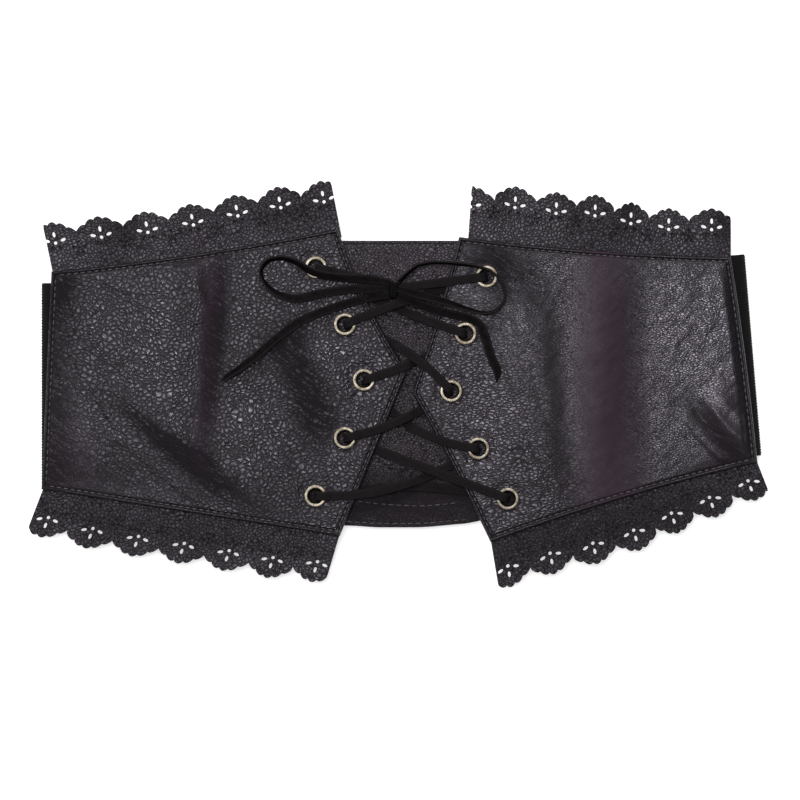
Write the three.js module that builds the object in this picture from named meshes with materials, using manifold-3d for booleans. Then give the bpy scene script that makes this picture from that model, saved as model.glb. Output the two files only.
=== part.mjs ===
// Corset belt of black leather: two front panels laced over a tongue, with pierced scalloped
// trims and a wide elastic back. It lies face up with its elastic back on the floor.
// Millimetres. +X runs to the right of the front, +Y to its top edge, +Z up from the floor,
// and the origin is on the floor under the middle of the belt.
import * as THREE from 'three';
import { mergeVertices } from 'three/addons/utils/BufferGeometryUtils.js';
import Module from 'manifold-3d';

const wasm = await Module();
wasm.setup();

// Sizes of the belt as it lies
const panelReach = 161; // centre line to the outer end of a panel
const panelRise = 70; // middle height to the upper corners beside the lacing
const panelWall = 2;
const trimReach = 23; // seam to the tips of the scallops
const trimWall = 1.2;
const seamLap = 4; // trim sewn under the panel's edge
const scallopArch = 4.4; // rise of one scallop
const lobeRise = 1.1; // rise of one small lobe
const ruffleRise = 2.6; // highest ruffle of the trims
const flowerRadius = 3.8; // flower's dot to the middle of a petal
const flowerInset = 9.6; // scallop's tip to the flower's dot
const petalLength = 2.7;
const petalWidth = 1.7;
const flowerDot = 1.5;
const tongueRise = 64.6; // middle height to the tongue's top edge
const tongueWall = 1.2;
const tongueFlap = 7; // sewn strip under each panel
const tongueTaper = 10.3; // how much lower the tongue's edge is at its sides
const bandWidth = 91;
const bandWall = 1.4;
const bandLap = 13; // elastic sewn under the panel's end
const bandShowLeft = 5; // elastic that shows beyond the left panel's upper corner
const bandShowRight = 10.5;
const bandRise = 12.8; // how far the back drifts upwards from left to right
const hollowHeight = 6; // clear height of the waist between the back and the tongue
const foldHeight = 5.9; // clear height inside the elastic's folds at both ends
const laceWidth = 4;
const laceThick = 1.2;
const eyeletFlange = 10; // outer diameter on the face
const eyeletBackFlange = 9; // outer diameter behind the leather
const eyeletCrown = 8.6; // diameter of the face flange's top
const eyeletBore = 6.2;
const barrelWall = 0.5;
const flangeThick = 0.6;
const knotLength = 8;
const knotWidth = 4.6;
const knotHeight = 5;
const foldDepth = 1.6; // deepest soft fold of the panels
const laceCurve = 2.6; // room beside an eyelet's flange where the lace bends over it
const laceMargin = 2.4; // least distance of a strand's middle from an edge that it dives under
const clearance = 0.3; // between pieces that touch
const seamGap = 0.36; // between a trim and the panel over it

// Heights that follow from the layers
const tongueUnder = bandWall + hollowHeight;
const tongueTop = tongueUnder + tongueWall;
const laceLow = tongueTop + clearance + laceThick / 2;
const panelUnder = tongueTop + clearance * 3 + laceThick + flangeThick;
const panelTop = panelUnder + panelWall;
const bandTop = bandWall * 2 + foldHeight;
const panelUnderEnd = bandTop + clearance * 2 + trimWall;
const laceUnderEdge = panelUnder - clearance - laceThick / 2;
const laceOnPanel = panelTop + clearance + laceThick / 2;
const laceOnFlange = laceOnPanel + clearance + flangeThick;

// Distances out from the centre line that the panels' layers follow
const laceZone = 0.43 * panelReach; // flat middle around the lacing
const foldsFrom = 0.55 * panelReach;
const foldsTo = 0.82 * panelReach;
const endZone = 0.93 * panelReach; // flat ends over the elastic
const tongueFlat = 0.17 * panelReach;

// Corners of each panel as it lies: out from the centre line in shares of panelReach, up from
// the middle in shares of panelRise. bow is the bulge of the edge that runs on to the next corner.
const panelCorners = {
  left: [
    { corner: 'top outer', out: 0.974, up: 0.723, bow: -0.023 },
    { corner: 'top inner', out: 0.174, up: 0.997, bow: -0.034 },
    { corner: 'waist', out: -0.02, up: 0.08, bow: 0 },
    { corner: 'bottom inner', out: 0.168, up: -0.977, bow: 0 },
    { corner: 'bottom outer', out: 1.002, up: -0.677, bow: 0 },
  ],
  right: [
    { corner: 'top outer', out: 0.925, up: 0.816, bow: -0.023 },
    { corner: 'top inner', out: 0.165, up: 0.945, bow: -0.013 },
    { corner: 'waist', out: 0.034, up: -0.058, bow: -0.012 },
    { corner: 'bottom inner', out: 0.253, up: -1.016, bow: -0.028 },
    { corner: 'bottom outer', out: 0.999, up: -0.504, bow: 0.01 },
  ],
};

// Eyelet centres from the top down, in the same shares
const eyelets = {
  left: [
    { out: 0.235, up: 0.749 },
    { out: 0.154, up: 0.383 },
    { out: 0.101, up: 0.026 },
    { out: 0.154, up: -0.347 },
    { out: 0.236, up: -0.719 },
  ],
  right: [
    { out: 0.242, up: 0.69 },
    { out: 0.183, up: 0.324 },
    { out: 0.143, up: -0.045 },
    { out: 0.219, up: -0.414 },
    { out: 0.301, up: -0.737 },
  ],
};

// Crossed strands from the bottom up, each from one eyelet over its own panel to the next higher
// eyelet opposite. bow is the strand's sideways slack in shares of panelRise, and it falls from
// over its own panel to under the other one between two shares of the gap that it crosses.
const strands = [
  { from: ['left', 4], to: ['right', 3], bow: -0.09, fallFrom: 0.1, fallTo: 0.75 },
  { from: ['right', 3], to: ['left', 2], bow: 0.1, fallFrom: 0, fallTo: 0.56 },
  { from: ['left', 2], to: ['right', 1], bow: -0.03, fallFrom: 0, fallTo: 0.9 },
  { from: ['right', 1], to: ['left', 0], bow: 0.03, fallFrom: 0, fallTo: 0.56 },
  { from: ['right', 4], to: ['left', 3], bow: 0, fallFrom: 0.5, fallTo: 1 },
  { from: ['left', 3], to: ['right', 2], bow: -0.04, fallFrom: 0.45, fallTo: 1 },
  { from: ['right', 2], to: ['left', 1], bow: -0.06, fallFrom: 0.3, fallTo: 1 },
  { from: ['left', 1], to: ['right', 0], bow: 0.02, fallFrom: 0.45, fallTo: 1 },
];
const seamCalm = 0.7; // share by which the panels' folds flatten towards the sewn edges
const barBow = 0.065; // upward slack of the bottom bar, in shares of panelRise

// The lace's way through an eyelet. away is measured from its middle in shares of the flange's
// radius, climb from the run over the tongue (0) to the run over the face flange (1).
const eyeletWay = [
  { away: -1, climb: 0 },
  { away: -0.36, climb: 0.02 },
  { away: -0.1, climb: 0.15 },
  { away: 0, climb: 0.43 },
  { away: 0, climb: 0.68 },
  { away: 0.1, climb: 0.87 },
  { away: 0.36, climb: 1 },
  { away: 1, climb: 1 },
];

// Soft folds of the panels, placed in shares of panelReach and panelRise. turn is the fold's
// direction in degrees from +X, long and wide are shares of panelRise, deep of foldDepth.
const panelFolds = [
  { panel: 'left', out: 0.53, up: 0.1, turn: 86, long: 1.0, wide: 0.12, deep: -0.9 },
  { panel: 'left', out: 0.72, up: 0.2, turn: 80, long: 0.8, wide: 0.2, deep: 0.7 },
  { panel: 'left', out: 0.66, up: -0.42, turn: -38, long: 0.34, wide: 0.09, deep: -0.6 },
  { panel: 'left', out: 0.58, up: -0.5, turn: -44, long: 0.4, wide: 0.09, deep: 0.5 },
  { panel: 'right', out: 0.43, up: 0.1, turn: 88, long: 0.9, wide: 0.14, deep: -0.5 },
  { panel: 'right', out: 0.56, up: 0.15, turn: 90, long: 0.9, wide: 0.16, deep: 0.7 },
  { panel: 'right', out: 0.64, up: 0.1, turn: 86, long: 0.9, wide: 0.12, deep: -0.7 },
  { panel: 'right', out: 0.86, up: -0.2, turn: -38, long: 0.3, wide: 0.09, deep: -0.5 },
];

// Trims. leans are the outward directions at the outer and inner end in degrees from +X.
// Each scallop row ends at a share of the seam, counted from the panel's outer end, and reaches
// a share of trimReach. start is where the first scallop would begin if it were whole.
const trims = [
  {
    name: 'left_top_trim', side: 'left', edge: 'top', leans: [102, 101], span: [0.003, 1.008], start: -0.045,
    scallops: [
      { end: 0.113, reach: 0.969 },
      { end: 0.275, reach: 0.984 },
      { end: 0.434, reach: 0.965 },
      { end: 0.594, reach: 0.982 },
      { end: 0.747, reach: 1.022 },
      { end: 0.896, reach: 1.035 },
      { end: 1.047, reach: 0.99 },
    ],
    ruffles: [
      { at: 0.2, wide: 0.07, rise: 0.35 },
      { at: 0.29, wide: 0.035, rise: 1 },
      { at: 0.52, wide: 0.08, rise: 0.5 },
      { at: 0.86, wide: 0.09, rise: 0.6 },
    ],
  },
  {
    name: 'left_bottom_trim', side: 'left', edge: 'bottom', leans: [-111, -106.5], span: [0.004, 0.998],
    start: -0.022,
    scallops: [
      { end: 0.132, reach: 0.955 },
      { end: 0.284, reach: 1.03 },
      { end: 0.437, reach: 1.045 },
      { end: 0.588, reach: 1.04 },
      { end: 0.736, reach: 1.043 },
      { end: 0.88, reach: 1.044 },
      { end: 1.026, reach: 0.988 },
    ],
    ruffles: [
      { at: 0.16, wide: 0.06, rise: 0.6 },
      { at: 0.44, wide: 0.09, rise: 0.5 },
      { at: 0.75, wide: 0.07, rise: 0.7 },
    ],
  },
  {
    name: 'right_top_trim', side: 'right', edge: 'top', leans: [90, 86], span: [0, 0.966], start: -0.012,
    scallops: [
      { end: 0.154, reach: 0.947 },
      { end: 0.305, reach: 0.92 },
      { end: 0.435, reach: 0.995 },
      { end: 0.572, reach: 1.1 },
      { end: 0.724, reach: 1.083 },
      { end: 0.878, reach: 1.118 },
      { end: 1.054, reach: 1.035 },
    ],
    ruffles: [
      { at: 0.07, wide: 0.06, rise: 0.5 },
      { at: 0.42, wide: 0.05, rise: 1 },
      { at: 0.64, wide: 0.08, rise: 0.45 },
      { at: 0.9, wide: 0.06, rise: 0.5 },
    ],
  },
  {
    name: 'right_bottom_trim', side: 'right', edge: 'bottom', leans: [-68.4, -80.6], span: [0, 0.998],
    start: -0.02,
    scallops: [
      { end: 0.13, reach: 0.73 },
      { end: 0.278, reach: 0.862 },
      { end: 0.42, reach: 0.965 },
      { end: 0.566, reach: 1.083 },
      { end: 0.72, reach: 1.09 },
      { end: 0.875, reach: 1.018 },
      { end: 1.031, reach: 0.982 },
    ],
    ruffles: [
      { at: 0.12, wide: 0.06, rise: 0.7 },
      { at: 0.4, wide: 0.07, rise: 0.8 },
      { at: 0.68, wide: 0.08, rise: 0.4 },
    ],
  },
];

// Route of the bow, chosen by hand: x, y and height over the panel's face of each point
const bowRoutes = {
  knot: [-2.9, 42.3],
  leftLoop: [
    [-5.9, 43.1, 2.2], [-14, 42.7, 2.1], [-24, 42.4, 2.1], [-36.9, 40.4, 1.4], [-47, 38.4, 0.9],
    [-54.5, 40.2, 0.9], [-60.4, 44.8, 0.9], [-62.6, 50.6, 0.9], [-59.6, 55.2, 0.9],
    [-53.6, 56.6, 0.9], [-47, 55, 1.4], [-41.6, 51.6, 2.7], [-35, 49, 3.5], [-24, 47.6, 2.8],
    [-14, 47.4, 2.5], [-5.9, 47.2, 2.4],
  ],
  rightLoop: [
    [0.2, 46.6, 2.9], [3.6, 49.9, 2.7], [7.6, 53, 2.5], [13, 54.4, 2.4], [23, 54.3, 2.4],
    [30, 53.6, 2.5], [34.6, 52.8, 3.3], [39, 51.4, 3.5], [43, 48.9, 3.5], [45.9, 44.6, 2.9],
    [47, 38.6, 2.4],
    [43.2, 33.2, 2.4], [37.4, 31.9, 2.4], [30, 33.6, 2.4], [21, 36.6, 2.7], [11, 39.3, 3.5],
    [0.4, 42.4, 4.5],
  ],
  leftTail: [
    [-6, 39.6, 0.9], [-13.5, 38.9, 0.9], [-25.4, 35.7, 0.9], [-42.8, 29.2, 0.9],
    [-54, 21.6, 0.9], [-66.2, 11.2, 0.9], [-80.1, 1.4, 0.9],
  ],
  rightTail: [
    [0.1, 39.2, 2.2], [6, 36.9, 1.9], [15.1, 33.6, 1.1], [25, 30.9, 0.9], [31.4, 29.5, 0.9],
    [35.4, 27.2, 0.9], [37.7, 22.6, 0.9], [41.2, 11.7, 0.9], [43.7, 5.9, 0.9], [43.5, 0.8, 0.9],
  ],
};

const knotEnds = { left: 2.1, right: 1 }; // where the lacing meets the knot, over its middle

const black = new THREE.Color(0x1c171b);
const leather = new THREE.MeshStandardMaterial({ color: black, roughness: 0.45, metalness: 0 });
const tongueLeather = new THREE.MeshStandardMaterial({ color: 0x231b22, roughness: 0.5, metalness: 0 });
const elastic = new THREE.MeshStandardMaterial({ color: 0x0c0b0c, roughness: 0.95, metalness: 0 });
const suede = new THREE.MeshStandardMaterial({ color: 0x141113, roughness: 0.85, metalness: 0 });
const brass = new THREE.MeshStandardMaterial({ color: 0x9c8256, roughness: 0.35, metalness: 1 });

const sideSign = { left: -1, right: 1 };
const toRadians = Math.PI / 180;
const belt = new THREE.Group();

function smooth(value, from, to) {
  const share = Math.min(1, Math.max(0, (value - from) / (to - from)));
  return share * share * (3 - 2 * share);
}

// A point given in shares of a side, in millimetres
function place(side, row) {
  return new THREE.Vector2(sideSign[side] * row.out * panelReach, row.up * panelRise);
}

// An edge from a to b that bulges by bow to its left, as a function of the share along it
function bowedEdge(a, b, bow) {
  const across = new THREE.Vector2(a.y - b.y, b.x - a.x).normalize();
  const pull = a.clone().add(b).multiplyScalar(0.5).addScaledVector(across, 2 * bow);
  const curve = new THREE.QuadraticBezierCurve(a, pull, b);
  return (share) => curve.getPoint(share);
}

// The edges of one panel and the point at any share of it, in from its outer end and up
function panelShape(side) {
  const rows = panelCorners[side];
  const corners = rows.map((row) => place(side, row));
  const edges = rows.map((row, i) => {
    const outward = -sideSign[side] * row.bow * panelRise;
    return bowedEdge(corners[i], corners[(i + 1) % rows.length], outward);
  });
  const top = edges[0];
  const bottom = (share) => edges[3](1 - share);
  const outer = edges[4];
  const inner = (rise) => (rise < 0.5 ? edges[2](1 - 2 * rise) : edges[1](2 - 2 * rise));
  const [topOuter, topInner, , bottomInner, bottomOuter] = corners;
  const point = (share, rise) => {
    const flat = new THREE.Vector2();
    flat.addScaledVector(bottom(share), 1 - rise).addScaledVector(top(share), rise);
    flat.addScaledVector(outer(rise), 1 - share).addScaledVector(inner(rise), share);
    flat.addScaledVector(bottomOuter, -(1 - share) * (1 - rise));
    flat.addScaledVector(bottomInner, -share * (1 - rise));
    flat.addScaledVector(topOuter, -(1 - share) * rise);
    return flat.addScaledVector(topInner, -share * rise);
  };
  return { side, top, bottom, outer, inner, point };
}

const panels = { left: panelShape('left'), right: panelShape('right') };

// Height of a panel's underside over the floor: flat at the lacing, lower towards the ends,
// with the soft folds between
function underside(x, y) {
  const side = x < 0 ? 'left' : 'right';
  const out = Math.abs(x);
  const lift = panelUnder + (panelUnderEnd - panelUnder) * smooth(out, laceZone, endZone);
  const ends = smooth(out, laceZone, foldsFrom) * (1 - smooth(out, foldsTo, endZone));
  const fade = ends * (1 - seamCalm * smooth(Math.abs(y), 0.5 * panelRise, 0.8 * panelRise));
  let folds = 0;
  for (const fold of panelFolds.filter((row) => row.panel === side)) {
    const centre = place(side, fold);
    const turn = fold.turn * toRadians;
    const dx = x - centre.x;
    const dy = y - centre.y;
    const along = (dx * Math.cos(turn) + dy * Math.sin(turn)) / (fold.long * panelRise);
    const across = (dy * Math.cos(turn) - dx * Math.sin(turn)) / (fold.wide * panelRise);
    folds += fold.deep * foldDepth * Math.exp(-along * along - across * across);
  }
  return lift + fade * folds;
}

// Gives a geometry merged corners and faces that point outwards
function finished(geometry) {
  const plain = geometry.clone();
  plain.deleteAttribute('normal');
  plain.deleteAttribute('uv');
  const merged = mergeVertices(plain, 1e-4);
  const at = merged.getAttribute('position');
  const index = Array.from(merged.getIndex().array);
  const [a, b, c] = [new THREE.Vector3(), new THREE.Vector3(), new THREE.Vector3()];
  let volume = 0;
  for (let i = 0; i < index.length; i += 3) {
    a.fromBufferAttribute(at, index[i]);
    b.fromBufferAttribute(at, index[i + 1]);
    c.fromBufferAttribute(at, index[i + 2]);
    volume += a.dot(b.cross(c));
  }
  if (volume < 0) index.reverse();
  merged.setIndex(index);
  merged.computeVertexNormals();
  return merged;
}

// A closed sheet over a grid: surface(i, j) gives the upper and lower point of each corner
function sheet(columns, rows, surface) {
  const positions = [];
  const index = [];
  const width = rows + 1;
  const layer = (columns + 1) * width;
  for (const level of ['upper', 'lower']) {
    for (let i = 0; i <= columns; i += 1) {
      for (let j = 0; j <= rows; j += 1) positions.push(...surface(i, j)[level].toArray());
    }
  }
  for (let i = 0; i < columns; i += 1) {
    for (let j = 0; j < rows; j += 1) {
      const a = i * width + j;
      const b = a + width;
      index.push(a, b, b + 1, a, b + 1, a + 1);
      index.push(layer + a, layer + b + 1, layer + b, layer + a, layer + a + 1, layer + b + 1);
    }
  }
  const rim = [];
  for (let i = 0; i < columns; i += 1) rim.push([i * width, (i + 1) * width]);
  for (let j = 0; j < rows; j += 1) rim.push([columns * width + j, columns * width + j + 1]);
  for (let i = columns; i > 0; i -= 1) rim.push([i * width + rows, (i - 1) * width + rows]);
  for (let j = rows; j > 0; j -= 1) rim.push([j, j - 1]);
  for (const [a, b] of rim) index.push(a, layer + a, layer + b, a, layer + b, b);
  const geometry = new THREE.BufferGeometry();
  geometry.setAttribute('position', new THREE.Float32BufferAttribute(positions, 3));
  geometry.setIndex(index);
  return finished(geometry);
}

function solid(geometry) {
  const mesh = new wasm.Mesh({
    numProp: 3,
    vertProperties: new Float32Array(geometry.getAttribute('position').array),
    triVerts: new Uint32Array(geometry.getIndex().array),
  });
  return new wasm.Manifold(mesh);
}

function geometryOf(body) {
  const mesh = body.getMesh();
  const geometry = new THREE.BufferGeometry();
  geometry.setAttribute('position', new THREE.BufferAttribute(mesh.vertProperties, 3));
  geometry.setIndex(new THREE.BufferAttribute(mesh.triVerts, 1));
  return finished(geometry);
}

function add(name, geometry, material) {
  const mesh = new THREE.Mesh(geometry, material);
  mesh.name = name;
  belt.add(mesh);
  return mesh;
}

// Leather panels with a hole for each eyelet's barrel
const panelColumns = 18;
const panelRows = 10;
const barrelRadius = eyeletBore / 2 + barrelWall;
const holeSides = 12;

function addPanel(side) {
  const shape = panels[side];
  const body = sheet(panelColumns, panelRows, (i, j) => {
    const at = shape.point(i / panelColumns, j / panelRows);
    const low = underside(at.x, at.y);
    return {
      upper: new THREE.Vector3(at.x, at.y, low + panelWall),
      lower: new THREE.Vector3(at.x, at.y, low),
    };
  });
  let cut = solid(body);
  for (const row of eyelets[side]) {
    const at = place(side, row);
    const drill = new THREE.CylinderGeometry(
      barrelRadius + clearance, barrelRadius + clearance, panelWall * 3, holeSides,
    );
    drill.rotateX(Math.PI / 2);
    drill.translate(at.x, at.y, panelUnder + panelWall / 2);
    cut = cut.subtract(solid(finished(drill)));
  }
  add(`${side}_panel`, geometryOf(cut), leather);
}

// Eyelets: a barrel through the leather between a face flange and a smaller one behind
const eyeletSides = 10;

function addEyelet(name, at) {
  const half = panelWall / 2 + clearance;
  const [bore, crown, back, flange] = [eyeletBore, eyeletCrown, eyeletBackFlange, eyeletFlange].map(
    (across) => across / 2,
  );
  const profile = [
    new THREE.Vector2(bore, -half - flangeThick),
    new THREE.Vector2(back, -half - flangeThick),
    new THREE.Vector2(back, -half),
    new THREE.Vector2(barrelRadius, -half),
    new THREE.Vector2(barrelRadius, half),
    new THREE.Vector2(flange, half),
    new THREE.Vector2(crown, half + flangeThick),
    new THREE.Vector2(bore, half + flangeThick),
  ];
  const ring = new THREE.LatheGeometry([...profile, profile[0]], eyeletSides);
  ring.rotateX(Math.PI / 2);
  const mesh = add(name, finished(ring), brass);
  mesh.position.set(at.x, at.y, panelUnder + panelWall / 2);
}

const petalCorners = 3; // in each half of an opening

// Outline of a trim in its flat strip: along the seam, then out from it
function scallopOutline(trim, length) {
  const points = [];
  let from = trim.start * length;
  const [first, last] = trim.span.map((share) => share * length);
  const perLobe = 3;
  const lobes = 5;
  for (const scallop of trim.scallops) {
    const to = scallop.end * length;
    const valley = scallop.reach * trimReach - scallopArch - lobeRise;
    for (let k = 0; k < lobes * perLobe; k += 1) {
      const share = k / (lobes * perLobe);
      const side = 2 * share - 1;
      const arch = scallopArch * (1 - side * side) ** 1.5;
      const lobe = lobeRise * Math.abs(Math.sin(Math.PI * lobes * share));
      points.push(new THREE.Vector2(from + (to - from) * share, valley + arch + lobe));
    }
    from = to;
  }
  return points.filter((point) => point.x > first + clearance && point.x < last - clearance);
}

// One opening of a flower: an oval in the flat strip, long along its turn
function petalCut(x, y, turn, long, wide) {
  const outline = new THREE.Shape();
  outline.absellipse(x, y, long / 2, wide / 2, 0, Math.PI * 2, false, turn);
  const cut = new THREE.ExtrudeGeometry(new THREE.Shape(outline.getPoints(petalCorners).slice(0, -1)), {
    depth: trimWall * 3, bevelEnabled: false,
  });
  cut.translate(0, 0, -trimWall);
  return solid(finished(cut));
}

// The openings of one flower around its dot: the tip petal and the two beside it
function flowerCuts(x, y) {
  const cuts = [petalCut(x, y, 0, flowerDot, flowerDot)];
  for (const degrees of [90, 18, 162]) {
    const turn = degrees * toRadians;
    cuts.push(petalCut(
      x + flowerRadius * Math.cos(turn), y + flowerRadius * Math.sin(turn), turn, petalLength, petalWidth,
    ));
  }
  return cuts;
}

// Where a point of a trim's strip lies in the belt, at the trim's upper face
function trimPoint(trim, along, out, length) {
  const share = along / length;
  const seam = panels[trim.side][trim.edge](share);
  const lean = (trim.leans[0] + (trim.leans[1] - trim.leans[0]) * share) * toRadians;
  const far = Math.max(0, out / trimReach);
  let ruffle = 0;
  for (const row of trim.ruffles) {
    ruffle += row.rise * ruffleRise * Math.exp(-(((share - row.at) / row.wide) ** 2));
  }
  const x = seam.x + out * Math.cos(lean);
  const y = seam.y + out * Math.sin(lean);
  const under = out < 0 ? Math.min(underside(x, y), underside(seam.x, seam.y)) : underside(seam.x, seam.y);
  const height = under - seamGap + ruffle * far ** 1.5;
  return new THREE.Vector3(x, y, height);
}

function addTrim(trim) {
  const edge = panels[trim.side][trim.edge];
  const length = edge(0).distanceTo(edge(1));
  const [first, last] = trim.span.map((share) => share * length);
  const rim = scallopOutline(trim, length);
  const outline = [new THREE.Vector2(first, -seamLap)];
  const baseSteps = 14;
  for (let k = 1; k <= baseSteps; k += 1) {
    outline.push(new THREE.Vector2(first + ((last - first) * k) / baseSteps, -seamLap));
  }
  outline.push(new THREE.Vector2(last, 0));
  outline.push(new THREE.Vector2(last, rim[rim.length - 1].y - lobeRise / 2));
  outline.push(...rim.reverse());
  outline.push(new THREE.Vector2(first, outline[outline.length - 1].y - lobeRise / 2));
  outline.push(new THREE.Vector2(first, 0));
  const blank = new THREE.ExtrudeGeometry(new THREE.Shape(outline), { depth: trimWall, bevelEnabled: false });
  let pierced = solid(finished(blank));
  let from = trim.start;
  for (const scallop of trim.scallops) {
    const middle = ((from + scallop.end) / 2) * length;
    const out = scallop.reach * trimReach - flowerInset;
    for (const cut of flowerCuts(middle, out)) pierced = pierced.subtract(cut);
    from = scallop.end;
  }
  const plate = geometryOf(pierced);
  const at = plate.getAttribute('position');
  for (let i = 0; i < at.count; i += 1) {
    const point = trimPoint(trim, at.getX(i), at.getY(i), length);
    at.setXYZ(i, point.x, point.y, point.z - trimWall + at.getZ(i));
  }
  add(trim.name, finished(plate), leather);
}

// Tongue: flat under the lacing, stepped up at both sides to the panels that it is sewn under
function addTongue() {
  const room = eyeletFlange / 2 + clearance * 3;
  const reach = (side) => Math.max(...eyelets[side].map((row) => row.out)) * panelReach + room;
  const ramp = tongueFlap * 0.8;
  const left = -reach('left') - ramp - tongueFlap;
  const right = reach('right') + ramp + tongueFlap;
  const steps = [
    left, -reach('left') - ramp, -reach('left') - ramp / 2, -reach('left'), -tongueFlat,
    0, tongueFlat, reach('right'), reach('right') + ramp / 2, reach('right') + ramp, right,
  ];
  const rows = 6;
  const sewn = panelUnder - clearance - tongueWall;
  add('tongue', sheet(steps.length - 1, rows, (i, j) => {
    const x = steps[i];
    const side = x < 0 ? 'left' : 'right';
    const away = smooth(Math.abs(x), reach(side), reach(side) + ramp);
    const lower = tongueTaper * smooth(Math.abs(x), tongueFlat, Math.abs(x < 0 ? left : right));
    const y = (tongueRise - lower) * ((2 * j) / rows - 1);
    const low = tongueUnder + (sewn - tongueUnder) * away;
    return { upper: new THREE.Vector3(x, y, low + tongueWall), lower: new THREE.Vector3(x, y, low) };
  }), tongueLeather);
}

// Elastic back: from under the left panel round the fold, along the floor and up again
function addBand() {
  const turn = bandTop / 2;
  const [leftCorner, rightCorner] = ['left', 'right'].map((side) => place(side, panelCorners[side][0]).x);
  const left = leftCorner - bandShowLeft + turn;
  const right = rightCorner + bandShowRight - turn;
  const path = [];
  const foldSteps = 8;
  const floorSteps = 8;
  path.push({ x: left + bandLap, z: 2 * turn, tilt: Math.PI });
  const fold = (middle, angle) => {
    const [x, z] = [middle + turn * Math.cos(angle), turn + turn * Math.sin(angle)];
    path.push({ x, z, tilt: angle + Math.PI / 2 });
  };
  for (let k = 0; k <= foldSteps; k += 1) fold(left, Math.PI * (0.5 + k / foldSteps));
  for (let k = 1; k < floorSteps; k += 1) {
    path.push({ x: left + ((right - left) * k) / floorSteps, z: 0, tilt: 0 });
  }
  for (let k = 0; k <= foldSteps; k += 1) fold(right, Math.PI * (k / foldSteps - 0.5));
  path.push({ x: right - bandLap, z: 2 * turn, tilt: Math.PI });
  const length = right - left;
  const place3 = (row, across, inward) => {
    const share = Math.min(1.05, Math.max(0, (row.x - left) / length));
    const slope = Math.atan((2 * bandRise * share) / length);
    const x = row.x - Math.sin(row.tilt) * inward;
    const z = row.z + Math.cos(row.tilt) * inward;
    return new THREE.Vector3(
      x - across * Math.sin(slope), bandRise * share * share + across * Math.cos(slope), z,
    );
  };
  add('elastic_band', sheet(path.length - 1, 2, (i, j) => {
    const across = (bandWidth / 2) * (j - 1);
    return { upper: place3(path[i], across, bandWall), lower: place3(path[i], across, 0) };
  }), elastic);
}

// A flat lace swept through stations that each give its middle, width direction and thickness
// direction
function flatSweep(stations) {
  const section = [
    [-0.5, 0], [-0.4, -0.5], [0.4, -0.5], [0.5, 0], [0.4, 0.5], [-0.4, 0.5],
  ];
  const positions = [];
  const index = [];
  for (const station of stations) {
    for (const [across, through] of section) {
      const corner = station.at.clone();
      corner.addScaledVector(station.wide, across * laceWidth);
      corner.addScaledVector(station.thick, through * laceThick);
      positions.push(...corner.toArray());
    }
  }
  const sides = section.length;
  for (let i = 0; i + 1 < stations.length; i += 1) {
    for (let j = 0; j < sides; j += 1) {
      const a = i * sides + j;
      const b = i * sides + ((j + 1) % sides);
      index.push(a, b, b + sides, a, b + sides, a + sides);
    }
  }
  const end = (stations.length - 1) * sides;
  for (let j = 1; j + 1 < sides; j += 1) {
    index.push(0, j + 1, j);
    index.push(end, end + j, end + j + 1);
  }
  const geometry = new THREE.BufferGeometry();
  geometry.setAttribute('position', new THREE.Float32BufferAttribute(positions, 3));
  geometry.setIndex(index);
  return finished(geometry);
}

// Where the inner edge of a panel lies at one height of the belt
function innerEdge(side, y) {
  let low = 0;
  let high = 1;
  for (let k = 0; k < 30; k += 1) {
    const middle = (low + high) / 2;
    if (panels[side].inner(middle).y < y) low = middle;
    else high = middle;
  }
  return panels[side].inner((low + high) / 2).x;
}

// Height of a crossed strand at one plan point, between its own panel and the one it dives under
function strandHeight(strand, at) {
  const [own] = strand.from;
  const [other] = strand.to;
  const away = (at.x - innerEdge(own, at.y)) * -sideSign[own];
  const gap = Math.abs(innerEdge(other, at.y) - innerEdge(own, at.y));
  const share = (away - laceMargin) / Math.max(clearance, gap - 2 * laceMargin);
  const fall = Math.min(1, Math.max(0, (share - strand.fallFrom) / (strand.fallTo - strand.fallFrom)));
  return laceOnPanel + (laceUnderEdge - laceOnPanel) * fall;
}

// Stations of a strand's plan curve, from just outside one eyelet to just outside the next
function strandStations(strand) {
  const from = place(strand.from[0], eyelets[strand.from[0]][strand.from[1]]);
  const to = place(strand.to[0], eyelets[strand.to[0]][strand.to[1]]);
  const curve = bowedEdge(from, to, strand.bow * panelRise);
  const length = from.distanceTo(to);
  const rim = eyeletFlange / 2 + laceCurve;
  const steps = 8;
  const points = [];
  for (let k = 0; k <= steps; k += 1) {
    const share = (rim + ((length - 2 * rim) * k) / steps) / length;
    const at = curve(share);
    points.push(new THREE.Vector3(at.x, at.y, strandHeight(strand, at)));
  }
  return points;
}

// Points of the lace through one eyelet: in from below along one heading, out over the other
function throughEyelet(at, into, out) {
  return eyeletWay.map((row) => {
    const heading = row.away < 0 || row.climb < 0.5 ? into : out;
    const away = (row.away * eyeletFlange) / 2;
    const z = laceLow + (laceOnFlange - laceLow) * row.climb;
    return new THREE.Vector3(at.x + heading.x * away, at.y + heading.y * away, z);
  });
}

function planHeading(a, b) {
  return new THREE.Vector2(b.x - a.x, b.y - a.y).normalize();
}

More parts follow.
